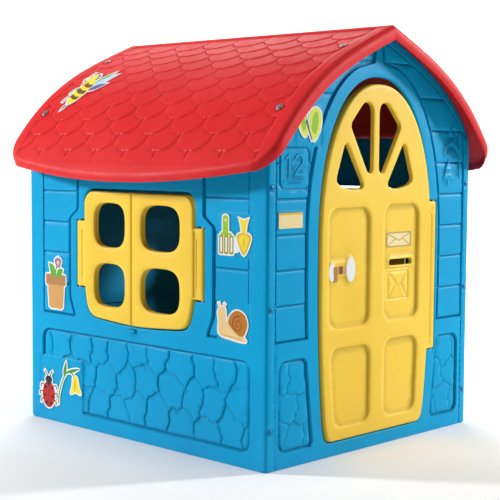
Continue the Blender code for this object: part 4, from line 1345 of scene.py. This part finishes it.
def roof_surface(side):
    """Gives the roof's points, normals and tangents for (distance from the ridge, side * y)."""

    def surface(uv):
        x = np.interp(uv[:, 0], FINE_S, FINE_X)
        slope = roof_slope(x)
        length = np.hypot(1, slope)
        zero = 0 * x
        points = np.column_stack([side * x, side * uv[:, 1], roof_z(x)])
        normals = np.column_stack([side * slope / length, zero, 1 / length])
        down = np.column_stack([side / length, zero, -slope / length])
        return points, normals, down, np.column_stack([zero, zero + side, zero])

    return surface


def tile_joint(row):
    """Where along y the joints of a row of tiles fall."""
    return 0.076 + (0.0 if row % 2 else TILE_PITCH_Y / 2)


def tile_edge(row, y):
    """How far from the ridge the lower edge of a row of tiles lies, at y."""
    share = ((y - tile_joint(row)) / TILE_PITCH_Y) % 1
    return TILE_FIRST + row * TILE_PITCH_S + TILE_DROP * (1 - np.abs(2 * share - 1) ** 2.3)


def tile_height(side):
    def height(points):
        s, y = points[:, 0], side * points[:, 1]
        edges = np.array([tile_edge(k, y) for k in range(TILE_ROWS)])
        covered = edges >= s - 1e-9
        row = np.where(covered.any(0), covered.argmax(0), TILE_ROWS)
        start = TILE_FIRST + (row - 1) * TILE_PITCH_S
        share = np.clip((s - start) / (TILE_PITCH_S + TILE_DROP), 0, 1)
        lift = TILE_LIFT * share
        past = np.clip(s - edges[-1], 0, None)
        lift = np.where(row == TILE_ROWS, TILE_LIFT * 0.35 + TILE_LIFT * 0.75 * smooth(past / 0.030), lift)
        past_joint = y - np.where(row % 2 == 1, tile_joint(1), tile_joint(0)) + TILE_PITCH_Y / 2
        joint = past_joint % TILE_PITCH_Y - TILE_PITCH_Y / 2
        cusp = TILE_FIRST + row * TILE_PITCH_S
        slit = (
            1 - smooth(np.abs(joint) / SLIT_WIDTH)
        ) * (row < TILE_ROWS) * smooth((cusp + 0.006 - s) / 0.006)
        swell = TILE_SWELL * (1 - (2 * joint / TILE_PITCH_Y) ** 2)
        fade = smooth((s - TILE_FADE) / FADE_LENGTH)
        tiles = -TILE_SINK + lift + swell * (row < TILE_ROWS) * share - SLIT_DEPTH * slit
        return tiles + (TILE_LIFT - TILE_SINK - tiles) * fade

    return height


def roof_relief(side):
    relief = Relief(0.013)
    field = counter_clockwise(
        [(0.016, -FIELD_RAKE), (0.665, -FIELD_RAKE), (0.665, FIELD_RAKE), (0.016, FIELD_RAKE)]
    )
    relief.press(field, tile_height(side), 0.003, step=0.006)
    v = np.arange(-FIELD_RAKE + 0.001, FIELD_RAKE, 0.0038)
    for row in range(TILE_ROWS):
        edge = tile_edge(row, side * v)
        for step in (-0.0042, -0.0007, 0.0007, 0.0042):
            relief.rows.append(np.column_stack([edge + step, v]))
        first = tile_joint(row) - 6 * TILE_PITCH_Y
        for y in np.arange(first, FIELD_RAKE, TILE_PITCH_Y):
            if abs(y) > FIELD_RAKE - 0.004:
                continue
            cusp = TILE_FIRST + row * TILE_PITCH_S
            for step in (-0.0036, -0.0018, 0, 0.0018, 0.0036):
                relief.row(
                    [(cusp - 0.024, side * y + step), (cusp + 0.005, side * y + step)], 0.0032, False
                )
    for x in ROOF_SCREW_XS:
        s = float(along_roof(x))
        for end in (-1, 1):
            v0 = end * ROOF_SCREW_Y
            for radius, value in ((0.0150, -0.0030), (0.0122, 0.0)):
                relief.press(ellipse(s, v0, radius), value, 0.0014, step=0.003)
    return relief


def roof_rim(side):
    """The roof half's boundary: where its sheet starts to turn, which way, how tightly and how far down."""
    corner_s = float(along_roof(eave_x(RAKE_Y)))
    rake_s = np.concatenate(
        [np.linspace(GAP / 2, 0.12, 12)[:-1], np.linspace(0.12, corner_s - ROOF_CORNER, 40)]
    )
    lower = [(s, -RAKE_Y) for s in rake_s]
    corner = []
    for a in np.linspace(-90, 0, 15)[1:-1]:
        a = math.radians(a)
        v = -RAKE_Y + ROOF_CORNER + ROOF_CORNER * math.sin(a)
        corner.append((float(along_roof(eave_x(v))) - ROOF_CORNER * (1 - math.cos(a)), v))
    eave = [
        (float(along_roof(eave_x(v))), v)
        for v in np.linspace(-RAKE_Y + ROOF_CORNER, RAKE_Y - ROOF_CORNER, 90)
    ]
    upper = [(s, -v) for s, v in reversed(lower + corner)]
    edge = np.array(lower + corner + eave + upper)
    tangent = np.gradient(edge, axis=0)
    outward = np.column_stack([tangent[:, 1], -tangent[:, 0]])
    outward /= np.linalg.norm(outward, axis=1)[:, None]
    sideways = np.abs(outward[:, 1]) ** 1.5
    inset = RIM_INSET * sideways + EAVE_INSET * (1 - sideways)
    base = edge - outward * inset[:, None]
    ridge = np.array(
        [(GAP / 2, v) for v in np.linspace(RAKE_Y - RIM_INSET - 0.0015, -RAKE_Y + RIM_INSET + 0.0015, 60)]
    )
    outward = np.vstack([outward, np.tile([-1.0, 0.0], (len(ridge), 1))])
    base = np.vstack([base, ridge])
    is_ridge = np.arange(len(base)) >= len(edge)
    points, normals, down, across = roof_surface(side)(base)
    turn = outward[:, :1] * down + outward[:, 1:] * across
    x = np.abs(points[:, 0])
    below = np.array([0.0, 0.0, -1.0])
    at_eave = smooth((x - 0.40) / 0.12) * (0.3 + 0.7 * (1 - np.abs(outward[:, 1])))
    at_ridge = 1 - smooth(x / 0.06)
    to_vertical = np.maximum(at_eave, at_ridge)[:, None]
    way = -normals * (1 - to_vertical) + below * to_vertical
    way[is_ridge] = below
    way /= np.linalg.norm(way, axis=1)[:, None]
    angle = np.arccos(np.clip((way * turn).sum(1), -1, 1))
    radius = np.where(is_ridge, 0.0035, RIM_INSET / np.maximum(np.sin(angle), 0.45))
    reach = (ROOF_RIM * (1 - at_eave) + EAVE_LIP * at_eave) + 0.003 * at_ridge
    drop = np.maximum(reach - radius * (1 - np.cos(angle)) * 0.9, 0.006)
    drop[is_ridge] = RIDGE_FLANGE
    return base, turn, way, angle, radius, drop


def make_roof_half(name, side):
    surface = roof_surface(side)
    base, turn, way, angle, radius, drop = roof_rim(side)
    relief, back = roof_relief(side), Relief(0.035)
    uv, faces_front, (rim,) = triangulate([base], relief.points([base]))
    back_uv, faces_back, (back_rim,) = triangulate([base], back.points([base]))
    points, normals, _, _ = surface(uv)
    points += normals * relief.height(uv)[:, None]
    behind, back_normals, _, _ = surface(back_uv)
    behind -= back_normals * ROOF_THICKNESS
    rim, back_rim = np.array(rim), np.array(back_rim)
    start = points[rim]
    across = way - (way * turn).sum(1)[:, None] * turn
    across /= np.linalg.norm(across, axis=1)[:, None] + 1e-12
    outer, inner = [], []
    steps = 6
    for k in range(1, steps + 1):
        a = (angle * k / steps)[:, None]
        place = start + radius[:, None] * (np.sin(a) * turn + (1 - np.cos(a)) * across)
        away = np.sin(a) * turn - np.cos(a) * across
        outer.append(place)
        inner.append(place - away * ROOF_THICKNESS)
    last = np.sin(angle)[:, None] * turn - np.cos(angle)[:, None] * across
    foot = outer[-1] + way * drop[:, None]
    bevel, rise = last * 0.0008, way * 0.001
    behind_foot = foot - last * ROOF_THICKNESS
    sections = [
        *outer,
        foot - rise,
        foot - bevel,
        behind_foot + bevel,
        behind_foot - rise,
        *reversed(inner),
    ]
    vertices = [points, behind]
    faces = [tuple(f) for f in faces_front] + [tuple(f[::-1] + len(points)) for f in faces_back]
    total = len(points) + len(behind)
    lines = [rim]
    for section in sections:
        vertices.append(section)
        lines.append(np.arange(total, total + len(section)))
        total += len(section)
    lines.append(back_rim + len(points))
    for a, b in zip(lines, lines[1:]):
        faces += list(zip(a, b, np.roll(b, -1), np.roll(a, -1)))
    made = np.vstack(vertices)
    made[:, 0] = side * np.clip(side * made[:, 0], GAP / 2, EAVE_X - GAP / 2)
    made[:, 2] = np.minimum(made[:, 2], RIDGE_Z)
    face_paints = np.zeros(len(faces), np.int32)
    face_paints[len(faces_front) : len(faces_front) + len(faces_back)] = 1
    return make_mesh(name, made, faces, [ROOF, INSIDES[ROOF.name]], face_paints, sharp=50)


# ------------------------------------------------------------ small hardware


def plane_surface(origin, normal, up):
    """Gives points of a plane through the origin, for (u, v) measured along it."""
    normal = Vector(normal).normalized()
    up = (Vector(up) - normal * Vector(up).dot(normal)).normalized()
    along = up.cross(normal)
    origin, normal, up, along = (np.array(v) for v in (Vector(origin), normal, up, along))

    def surface(uv):
        ones = np.ones((len(uv), 1))
        points = origin + uv[:, :1] * along + uv[:, 1:] * up
        return points, ones * normal, ones * along, ones * up

    return surface


def make_screw(name, origin, normal, radius, turned, paint, shank):
    """A low pan head with a cross recess, and its shank."""
    edge_height, crown = 0.0009, 0.0018
    relief, back = Relief(radius * 0.22), Relief(radius * 0.6)
    circle = superellipse(-radius, radius, -radius, radius, 2.0, 44)

    def dome(points):
        return crown * (1 - np.clip((points**2).sum(1) / radius**2, 0, 1) ** 1.3)

    relief.press(offset(circle, 0.002), dome, 0.0002, step=0.01, fine=False)
    for angle in (turned, turned + 90):
        c, s = math.cos(math.radians(angle)) * radius / 2, math.sin(math.radians(angle)) * radius / 2
        relief.stroke([(-c, -s), (c, s)], radius * 0.20, -0.0004, soft=0.0007, step=0.0008)
    relief.row(offset(circle, -radius * 0.12), 0.0012)
    seat = plane_surface(origin, normal, (0, 0.3, 1))
    made = shell(
        name, [Edge(circle, 0.0006, step=0.003)], relief, back, seat, paint, edge_height, 3, edge_height
    )
    origin, normal = Vector(origin), Vector(normal).normalized()
    frame_turn = normal.to_track_quat("Z", "Y").to_matrix()
    profile = [(SHANK_RADIUS, -0.0001), (SHANK_RADIUS, -shank + 0.003), (0.0003, -shank)]
    sides = SHANK_SIDES
    vertices, faces = [], []
    for r, z in profile:
        for k in range(sides):
            a = 2 * math.pi * k / sides
            vertices.append(tuple(origin + frame_turn @ Vector((r * math.cos(a), r * math.sin(a), z))))
    for ring in range(len(profile) - 1):
        for k in range(sides):
            a, b = ring * sides + k, ring * sides + (k + 1) % sides
            faces.append((a, a + sides, b + sides, b))
    faces.append(tuple(range(sides)))
    faces.append(tuple(range(len(vertices) - 1, len(vertices) - sides - 1, -1)))
    shaft = make_mesh(name + "_shank", vertices, faces, [paint])
    both = [made, shaft]
    context = {
        "object": made, "active_object": made, "selected_objects": both, "selected_editable_objects": both
    }
    with bpy.context.temp_override(**context):
        bpy.ops.object.join()
    return made


def make_screws():
    draw = random.Random(3)
    for end, word in ((-1, "front"), (1, "rear")):
        for side, hand in ((-1, "left"), (1, "right")):
            for i, z in enumerate(CORNER_SCREW_HEIGHTS):
                node_name = f"corner_screw_{word}_{hand}_{i + 1}"
                low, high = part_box(node_name)
                seat = ((low.x + high.x) / 2, end * (HALF_DEPTH + GAP), z)
                radius, turned = (high.x - low.x) / 2, draw.uniform(0, 90)
                screw = make_screw(
                    node_name + "_head", seat, (0, end, 0), radius, turned, CAP, CORNER_SHANK
                )
                dress(screw, "shell", "screw_plastic", node_name)
    for side, hand in ((-1, "left"), (1, "right")):
        for end, word in ((-1, "front"), (1, "rear")):
            for i, x in enumerate(ROOF_SCREW_XS):
                node_name = f"roof_screw_{hand}_{word}_{i + 1}"
                slope = float(roof_slope(x))
                normal = Vector((side * slope, 0, 1)).normalized()
                seat = Vector((side * x, end * ROOF_SCREW_Y, float(roof_z(x)))) + normal * (GAP + 0.0002)
                turned = draw.uniform(0, 90)
                screw = make_screw(
                    node_name + "_head", seat, normal, ROOF_SCREW_RADIUS, turned, STEEL, ROOF_SHANK
                )
                dress(screw, "shell", "screw_plastic", node_name)


dress(make_door(), "door", "leaf_plastic", "door_leaf")
for wall in ("left", "right"):
    for word in ("front", "rear"):
        dress(make_shutter(wall, word), f"{wall}_{word}_leaf", "leaf_plastic", f"{wall}_shutter_{word}")
for hand, side in (("left", -1), ("right", 1)):
    dress(make_roof_half(f"roof_{hand}_moulding", side), "shell", "roof_plastic", f"roof_{hand}")
make_screws()
for name in PINS:
    pin = frame["nodes"][name]
    pin.data.materials.clear()
    pin.data.materials.append(PIN)


# ----------------------------------------------------------------- stickers

INKS = {
    name: vinyl("ink_" + name, colour)
    for name, colour in {
        "white": (0.80, 0.84, 0.82),
        "cream": (0.86, 0.70, 0.36),
        "yellow": (0.88, 0.72, 0.03),
        "gold": (0.78, 0.48, 0.02),
        "lime": (0.30, 0.55, 0.02),
        "pale_lime": (0.70, 0.80, 0.06),
        "green": (0.05, 0.28, 0.03),
        "leaf": (0.10, 0.40, 0.02),
        "sky": (0.45, 0.66, 0.86),
        "violet": (0.13, 0.08, 0.33),
        "purple": (0.35, 0.14, 0.38),
        "navy": (0.01, 0.10, 0.26),
        "brown": (0.17, 0.075, 0.008),
        "tan": (0.62, 0.33, 0.10),
        "clay": (0.44, 0.21, 0.07),
        "shell": (0.50, 0.17, 0.012),
        "shell_line": (0.24, 0.075, 0.006),
        "skin": (0.84, 0.58, 0.27),
        "red": (0.55, 0.010, 0.012),
        "black": (0.02, 0.018, 0.015),
        "olive": (0.30, 0.27, 0.03),
        "drab": (0.47, 0.34, 0.10),
    }.items()
}


def ribbon(line, width, end=None):
    """A band of the given width along a line; it narrows to the end width."""
    line = np.array(line, float)
    end = width if end is None else end
    direction = np.gradient(line, axis=0)
    direction /= np.linalg.norm(direction, axis=1)[:, None]
    side = np.column_stack([-direction[:, 1], direction[:, 0]])
    half = np.linspace(width, end, len(line))[:, None] / 2
    return np.vstack([line + side * half, (line - side * half)[::-1]])


def blob(points, steps=6):
    return curve_through(points, steps, True)


def stem(points, steps, width, end=None):
    return ribbon(curve_through(points, steps), width, end)


def petal(x0, y0, x1, y1, width):
    """A pointed leaf from one point to another."""
    a, b = np.array([x0, y0], float), np.array([x1, y1], float)
    side = np.array([a[1] - b[1], b[0] - a[0]])
    side /= np.linalg.norm(side)
    t = np.linspace(0, 1, 12)[:, None]
    bulge = np.sin(np.pi * t**0.85) * width / 2
    left, right = a + (b - a) * t + side * bulge, a + (b - a) * t - side * bulge
    return np.vstack([left, right[::-1][1:-1]])


def artwork(name, shapes, surface, border, level, spacing=None):
    """One printed film, cut round its shapes with a border: each area takes the ink of the topmost shape."""
    regions = [(offset(counter_clockwise(loop), border), "white") for loop, _ in shapes] if border else []
    regions += [(counter_clockwise(loop), ink) for loop, ink in shapes]
    given, edges, start = [], [], 0
    for loop, _ in regions:
        loop = subdivided(loop, 0.006)
        given.append(loop)
        edges += [(start + i, start + (i + 1) % len(loop)) for i in range(len(loop))]
        start += len(loop)
    if spacing:
        low, high = np.vstack(given).min(0), np.vstack(given).max(0)
        given.append(hex_grid(low, high, spacing))
    result = delaunay_2d_cdt([Vector(p) for p in np.vstack(given)], edges, [], 0, 2e-5)
    flat = np.array([tuple(v) for v in result[0]])
    triangles = np.array(result[2])
    centres = flat[triangles].mean(1)
    inks = [ink for _, ink in regions]
    palette = sorted(set(inks))
    top = np.full(len(triangles), -1)
    for loop, ink in regions:
        top[inside(loop, centres)] = palette.index(ink)
    corners = flat[triangles]
    ab, ac = corners[:, 1] - corners[:, 0], corners[:, 2] - corners[:, 0]
    turn = ab[:, 0] * ac[:, 1] - ab[:, 1] * ac[:, 0]
    keep = (top >= 0) & (np.abs(turn) > 1e-13)
    triangles, top, turn = triangles[keep], top[keep], turn[keep]
    triangles[turn < 0] = triangles[turn < 0][:, ::-1]
    used, triangles = np.unique(triangles, return_inverse=True)
    triangles = triangles.reshape(-1, 3)
    flat = flat[used]
    points, normals, _, _ = surface(flat)
    front, back = points + normals * (level + FILM), points + normals * level
    count = len(flat)
    faces = [tuple(t) for t in triangles] + [tuple(t[::-1] + count) for t in triangles]
    paints = list(top) + list(top)
    directed = {}
    for t, ink in zip(triangles.tolist(), top):
        for a, b in ((t[0], t[1]), (t[1], t[2]), (t[2], t[0])):
            directed[(a, b)] = ink
    for (a, b), ink in directed.items():
        if (b, a) not in directed:
            faces.append((a, a + count, b + count, b))
            paints.append(ink)
    return make_mesh(
        name, np.vstack([front, back]), faces, [INKS[ink] for ink in palette], paints, sharp=30
    )


def placed(node_name, across, shapes):
    """Shapes drawn in a unit square, placed on a wall over a sticker's CAD box."""
    low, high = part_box(node_name)
    u0, u1 = sorted((across(low), across(high)))
    scale = np.array([u1 - u0, high.z - low.z])
    return [(np.asarray(loop) * scale + (u0, low.z), ink) for loop, ink in shapes]


def garden_tools():
    shapes = [
        (rounded_box(0.13, 0.29, 0.50, 0.97, 0.07), "lime"),
        (ellipse(0.21, 0.86, 0.035, 0.04, steps=28), "cream"),
        (rounded_box(0.06, 0.40, 0.45, 0.56, 0.05), "lime"),
        (rounded_box(0.03, 0.45, 0.06, 0.50, 0.03), "cream"),
        (rounded_box(0.40, 0.62, 0.14, 0.44, 0.08), "white"),
    ]
    for x in (0.02, 0.175, 0.33):
        shapes.append((rounded_box(x, x + 0.125, 0.06, 0.50, 0.04), "olive"))
        shapes.append((rounded_box(x + 0.035, x + 0.090, 0.10, 0.46, 0.025), "white"))
    shapes += [
        (
            np.array(
                [
                    (0.60, 0.93), (0.66, 0.80), (0.70, 0.55), (0.80, 0.55), (0.84, 0.80), (0.90, 0.93),
                    (0.75, 0.87),
                ]
            ),
            "yellow",
        ),
        (
            blob([(0.56, 0.52), (0.75, 0.58), (0.95, 0.52), (0.93, 0.34), (0.76, 0.06), (0.59, 0.32)], 5),
            "gold",
        ),
        (
            blob([(0.62, 0.48), (0.75, 0.53), (0.89, 0.48), (0.87, 0.35), (0.76, 0.14), (0.64, 0.33)], 5),
            "yellow",
        ),
        (petal(0.755, 0.20, 0.755, 0.50, 0.05), "gold"),
    ]
    return shapes


def snail():
    body = blob(
        [
            (0.07, 0.15), (0.05, 0.50), (0.02, 0.72), (0.10, 0.86), (0.24, 0.86), (0.28, 0.66),
            (0.30, 0.50), (0.55, 0.42), (0.90, 0.10), (0.86, 0.02), (0.50, 0.05),
        ]
    )
    spiral = []
    for t in np.linspace(0.6, 11.4, 60):
        across, up = (0.20 - 0.0155 * t) * math.cos(t + 0.6), (0.235 - 0.018 * t) * math.sin(t + 0.6)
        spiral.append((0.655 + across, 0.455 + up))
    return [
        (body, "skin"),
        (stem([(0.10, 0.80), (0.07, 0.92), (0.05, 0.97)], 4, 0.035), "skin"),
        (stem([(0.20, 0.82), (0.22, 0.93), (0.25, 0.97)], 4, 0.035), "skin"),
        (
            blob(
                [
                    (0.36, 0.46), (0.42, 0.68), (0.62, 0.82), (0.86, 0.74), (0.96, 0.50), (0.90, 0.26),
                    (0.78, 0.15), (0.60, 0.22),
                ]
            ),
            "shell",
        ),
        (ribbon(spiral, 0.034, 0.022), "shell_line"),
        (stem([(0.12, 0.14), (0.40, 0.115), (0.78, 0.075)], 5, 0.020), "tan"),
    ]


def flowerpot():
    shapes = [
        (
            np.array([(0.14, 0.50), (0.20, 0.05), (0.30, 0.02), (0.78, 0.02), (0.85, 0.06), (0.90, 0.50)]),
            "tan",
        ),
        (rounded_box(0.05, 0.97, 0.46, 0.66, 0.045), "clay"),
        (stem([(0.50, 0.64), (0.52, 0.74), (0.58, 0.86)], 5, 0.045), "green"),
        (petal(0.50, 0.64, 0.20, 0.86, 0.20), "leaf"),
        (petal(0.53, 0.63, 0.86, 0.76, 0.17), "leaf"),
    ]
    for angle in range(0, 360, 72):
        c, s = math.cos(math.radians(angle + 18)), math.sin(math.radians(angle + 18))
        shapes.append(
            (petal(0.62 + 0.03 * c, 0.885 + 0.02 * s, 0.62 + 0.17 * c, 0.885 + 0.105 * s, 0.13), "purple")
        )
    shapes.append((ellipse(0.62, 0.885, 0.055, 0.034, steps=28), "yellow"))
    return shapes


def ladybird_and_bellflower():
    """A plain beetle seen from above, and a bell flower on its stem."""
    shapes = [(ellipse(0.20, 0.575, 0.085, 0.070, steps=28), "black")]
    for side in (-1, 1):
        shapes.append(
            (
                stem(
                    [(0.20 + side * 0.03, 0.62), (0.20 + side * 0.06, 0.70), (0.20 + side * 0.10, 0.74)],
                    4,
                    0.018,
                ),
                "black",
            )
        )
        for y, reach in ((0.46, 0.18), (0.32, 0.20), (0.18, 0.17)):
            shapes.append(
                (
                    stem(
                        [
                            (0.20 + side * 0.10, y),
                            (0.20 + side * reach, y + 0.02),
                            (0.20 + side * (reach + 0.02), y - 0.05),
                        ],
                        4,
                        0.022,
                    ),
                    "brown",
                )
            )
    shapes += [
        (ellipse(0.20, 0.30, 0.155, 0.245, steps=28), "red"),
        (ribbon([(0.20, 0.06), (0.20, 0.20), (0.20, 0.35), (0.20, 0.54)], 0.012), "black"),
        (petal(0.20, 0.46, 0.20, 0.56, 0.10), "black"),
    ]
    for x, y in ((0.12, 0.42), (0.28, 0.42), (0.105, 0.27), (0.295, 0.27), (0.145, 0.14), (0.255, 0.14)):
        shapes.append((ellipse(x, y, 0.030, 0.034, 0, 16), "black"))
    shapes += [
        (stem([(0.44, 0.16), (0.47, 0.40), (0.57, 0.66), (0.70, 0.80), (0.84, 0.72)], 6, 0.026), "leaf"),
        (petal(0.58, 0.68, 0.64, 0.98, 0.07), "green"),
        (petal(0.62, 0.76, 0.96, 0.88, 0.06), "green"),
        (
            blob(
                [
                    (0.80, 0.72), (0.90, 0.71), (0.94, 0.55), (0.985, 0.42), (0.86, 0.44), (0.74, 0.40),
                    (0.78, 0.56),
                ],
                5,
            ),
            "yellow",
        ),
        (petal(0.85, 0.68, 0.84, 0.44, 0.05), "gold"),
    ]
    return shapes


def butterfly():
    """A plain butterfly seen from above, its near wing hidden under the rake."""
    return [
        (
            blob(
                [
                    (0.46, 0.44), (0.52, 0.86), (0.78, 0.98), (0.97, 0.82), (0.97, 0.52), (0.86, 0.28),
                    (0.70, 0.12), (0.58, 0.20),
                ]
            ),
            "pale_lime",
        ),
        (
            blob([(0.58, 0.42), (0.62, 0.74), (0.76, 0.88), (0.87, 0.76), (0.85, 0.52), (0.74, 0.30)]),
            "lime",
        ),
        (
            blob(
                [
                    (0.40, 0.46), (0.34, 0.80), (0.20, 0.86), (0.05, 0.70), (0.08, 0.46), (0.22, 0.26),
                    (0.36, 0.24),
                ]
            ),
            "pale_lime",
        ),
        (blob([(0.34, 0.48), (0.28, 0.70), (0.17, 0.72), (0.15, 0.52), (0.24, 0.36)]), "lime"),
        (stem([(0.40, 0.56), (0.48, 0.36), (0.60, 0.14)], 6, 0.075, 0.045), "navy"),
        (ellipse(0.38, 0.60, 0.055, 0.055, steps=28), "navy"),
        (stem([(0.38, 0.62), (0.36, 0.74), (0.30, 0.82)], 4, 0.016), "navy"),
        (stem([(0.40, 0.62), (0.44, 0.74), (0.43, 0.84)], 4, 0.016), "navy"),
    ]


def bee():
    """A plain striped bee; x runs down the roof and y towards the front, in a unit square."""
    body = ellipse(0.56, 0.36, 0.27, 0.20, -12, 40)
    shapes = [
        (petal(0.46, 0.50, 0.08, 0.80, 0.15), "leaf"),
        (petal(0.48, 0.50, 0.16, 0.98, 0.17), "sky"),
        (petal(0.54, 0.54, 0.40, 0.98, 0.13), "violet"),
        (ellipse(0.30, 0.28, 0.17, 0.17, 0, 32), "brown"),
        (ellipse(0.285, 0.25, 0.135, 0.135, 0, 32), "yellow"),
        (body, "yellow"),
    ]
    for shift, width in ((-0.135, 0.075), (0.005, 0.075), (0.135, 0.06)):
        half = 0.185 * math.sqrt(max(0.1, 1 - (shift / 0.27) ** 2))
        line = [(0.56 + shift + 0.012 * math.cos(3 * t), 0.36 + t * half) for t in np.linspace(-1, 1, 9)]
        shapes.append((turned_outline(ribbon(line, width), -12, (0.56, 0.36)), "brown"))
    shapes += [
        (petal(0.84, 0.30, 0.95, 0.24, 0.06), "brown"),
        (stem([(0.22, 0.13), (0.16, 0.06), (0.08, 0.05)], 4, 0.022), "brown"),
        (stem([(0.32, 0.12), (0.30, 0.05), (0.24, 0.00)], 4, 0.022), "brown"),
        (stem([(0.50, 0.18), (0.52, 0.08), (0.60, 0.04)], 4, 0.034), "olive"),
        (stem([(0.66, 0.18), (0.70, 0.08), (0.78, 0.06)], 4, 0.034), "olive"),
    ]
    return shapes


def blank_label():
    return [
        (rounded_box(0.0, 1.0, 0.0, 1.0, 0.03, 3), "cream"),
        (rounded_box(0.0, 1.0, 0.86, 1.0, 0.03, 3), "gold"),
    ]


def envelope():
    """A small envelope, for the letter slot."""
    return [
        (rounded_box(0.03, 0.97, 0.06, 0.94, 0.05, 3), "drab"),
        (np.array([(0.09, 0.14), (0.91, 0.14), (0.91, 0.86), (0.09, 0.86)]), "cream"),
        (ribbon([(0.09, 0.84), (0.30, 0.64), (0.50, 0.44), (0.70, 0.64), (0.91, 0.84)], 0.05), "drab"),
        (ribbon([(0.09, 0.16), (0.22, 0.34), (0.36, 0.54)], 0.04), "drab"),
        (ribbon([(0.91, 0.16), (0.78, 0.34), (0.64, 0.54)], 0.04), "drab"),
    ]


def bolt():
    return [
        (ellipse(0.12, 0.45, 0.115, 0.36, steps=28), "white"),
        (ellipse(0.80, 0.50, 0.165, 0.49, steps=28), "white"),
        (rounded_box(0.16, 0.64, 0.34, 0.66, 0.04, 3), "tan"),
        (rounded_box(0.36, 0.50, 0.36, 0.64, 0.03, 3), "brown"),
        (rounded_box(0.17, 0.31, 0.05, 0.64, 0.04, 3), "clay"),
    ]


def make_wall_sticker(name, place, across, shapes, body="shell", border=0.0045, level=0.0003):
    film = artwork(name + "_film", placed(name, across, shapes), flat_surface(PLACES[place]), border, level)
    return dress(film, body, "sticker_film", name)


for name, shapes in (
    ("garden_tools_sticker", garden_tools()),
    ("snail_sticker", snail()),
    ("flowerpot_sticker", flowerpot()),
    ("ladybird_sticker", ladybird_and_bellflower()),
):
    make_wall_sticker(name, "left", lambda p: -p.y, shapes)
make_wall_sticker("butterfly_sticker", "front", lambda p: p.x, butterfly())
make_wall_sticker("label_sticker", "front", lambda p: p.x, blank_label(), border=0.0)
door_level = DOOR_FRONT - PANEL_SINK + 0.0003
make_wall_sticker("letter_sticker", "front", lambda p: p.x, envelope(), "door", 0.0, door_level)
make_wall_sticker("bolt_sticker", "front", lambda p: p.x, bolt(), "door", 0.0, door_level + 0.0017)


def make_bee():
    low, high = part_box("bee_sticker")
    s0, s1 = float(along_roof(-high.x)), float(along_roof(-low.x))
    shapes = []
    for loop, ink in bee():
        loop = np.asarray(loop)
        down, along = s0 + (s1 - s0) * loop[:, 0], -high.y + (high.y - low.y) * loop[:, 1]
        shapes.append((np.column_stack([down, along]), ink))
    film = artwork("bee_sticker_film", shapes, roof_surface(-1), 0.006, 0.0002, spacing=0.012)
    dress(film, "shell", "sticker_film", "bee_sticker")


make_bee()


# -------------------------------------------------------------------- stage


def make_stage():
    """A floor that bends up into a backdrop behind the house, square to the camera."""
    steps = [(STAGE_NEAR, 0.0)]
    for a in np.linspace(0, math.pi / 2, 24):
        steps.append((STAGE_FAR + STAGE_BEND * math.sin(a), STAGE_BEND * (1 - math.cos(a))))
    steps.append((STAGE_FAR + STAGE_BEND, STAGE_TOP))
    az = math.radians(CAMERA_AZIMUTH)
    along, across = np.array([math.sin(az), math.cos(az)]), np.array([math.cos(az), -math.sin(az)])
    vertices, faces = [], []
    for distance, z in steps:
        for side in (-STAGE_HALF, STAGE_HALF):
            x, y = along * distance + across * side
            vertices.append((x, y, z - 0.0005))
    for i in range(len(steps) - 1):
        faces.append((2 * i, 2 * i + 1, 2 * i + 3, 2 * i + 2))
    paper = bpy.data.materials.new("backdrop_paper")
    paper.use_nodes = True
    tree = paper.node_tree
    shader = tree.nodes["Principled BSDF"]
    where = tree.nodes.new("ShaderNodeTexCoord").outputs["Object"]
    noise = node(tree, "ShaderNodeTexNoise", Scale=1.2, Detail=3.0)
    tree.links.new(where, noise.inputs["Vector"])
    pale = ramp(tree, noise.outputs["Fac"], [(0.3, (0.86,) * 3), (0.7, (0.90,) * 3)])
    tree.links.new(pale, shader.inputs["Base Color"])
    shader.inputs["Roughness"].default_value = 0.85
    floor = make_mesh("floor", vertices, faces, [paper])


def make_light(name, location, target, size, power):
    light = bpy.data.lights.new(name, "AREA")
    light.shape = "DISK"
    light.size = size
    light.energy = power
    thing = bpy.data.objects.new(name, light)
    thing.location = location
    thing.rotation_mode = "QUATERNION"
    thing.rotation_quaternion = (Vector(target) - Vector(location)).to_track_quat("-Z", "Y")
    bpy.context.scene.collection.objects.link(thing)


def make_world():
    world = bpy.data.worlds.new("studio")
    world.use_nodes = True
    background = world.node_tree.nodes["Background"]
    background.inputs["Color"].default_value = (0.93, 0.96, 1.0, 1.0)
    background.inputs["Strength"].default_value = 0.10
    bpy.context.scene.world = world


def make_camera():
    azimuth, elevation, roll = map(math.radians, (CAMERA_AZIMUTH, CAMERA_ELEVATION, CAMERA_ROLL))
    level = math.cos(elevation)
    forward = Vector((math.sin(azimuth) * level, math.cos(azimuth) * level, -math.sin(elevation)))
    right = Vector((math.cos(azimuth), -math.sin(azimuth), 0))
    up = right.cross(forward)
    right, up = math.cos(roll) * right + math.sin(roll) * up, math.cos(roll) * up - math.sin(roll) * right
    matrix = Matrix((right, up, -forward)).transposed().to_4x4()
    matrix.translation = CAMERA_PLACE
    data = bpy.data.cameras.new("camera")
    data.sensor_width = 36
    data.lens = CAMERA_LENS
    data.clip_end = CAMERA_REACH
    camera = bpy.data.objects.new("camera", data)
    camera.matrix_world = matrix
    bpy.context.scene.collection.objects.link(camera)
    bpy.context.scene.camera = camera


make_stage()
make_world()
make_camera()
for light in LIGHTS:
    make_light(*light)
bpy.context.scene.view_settings.view_transform = "Standard"
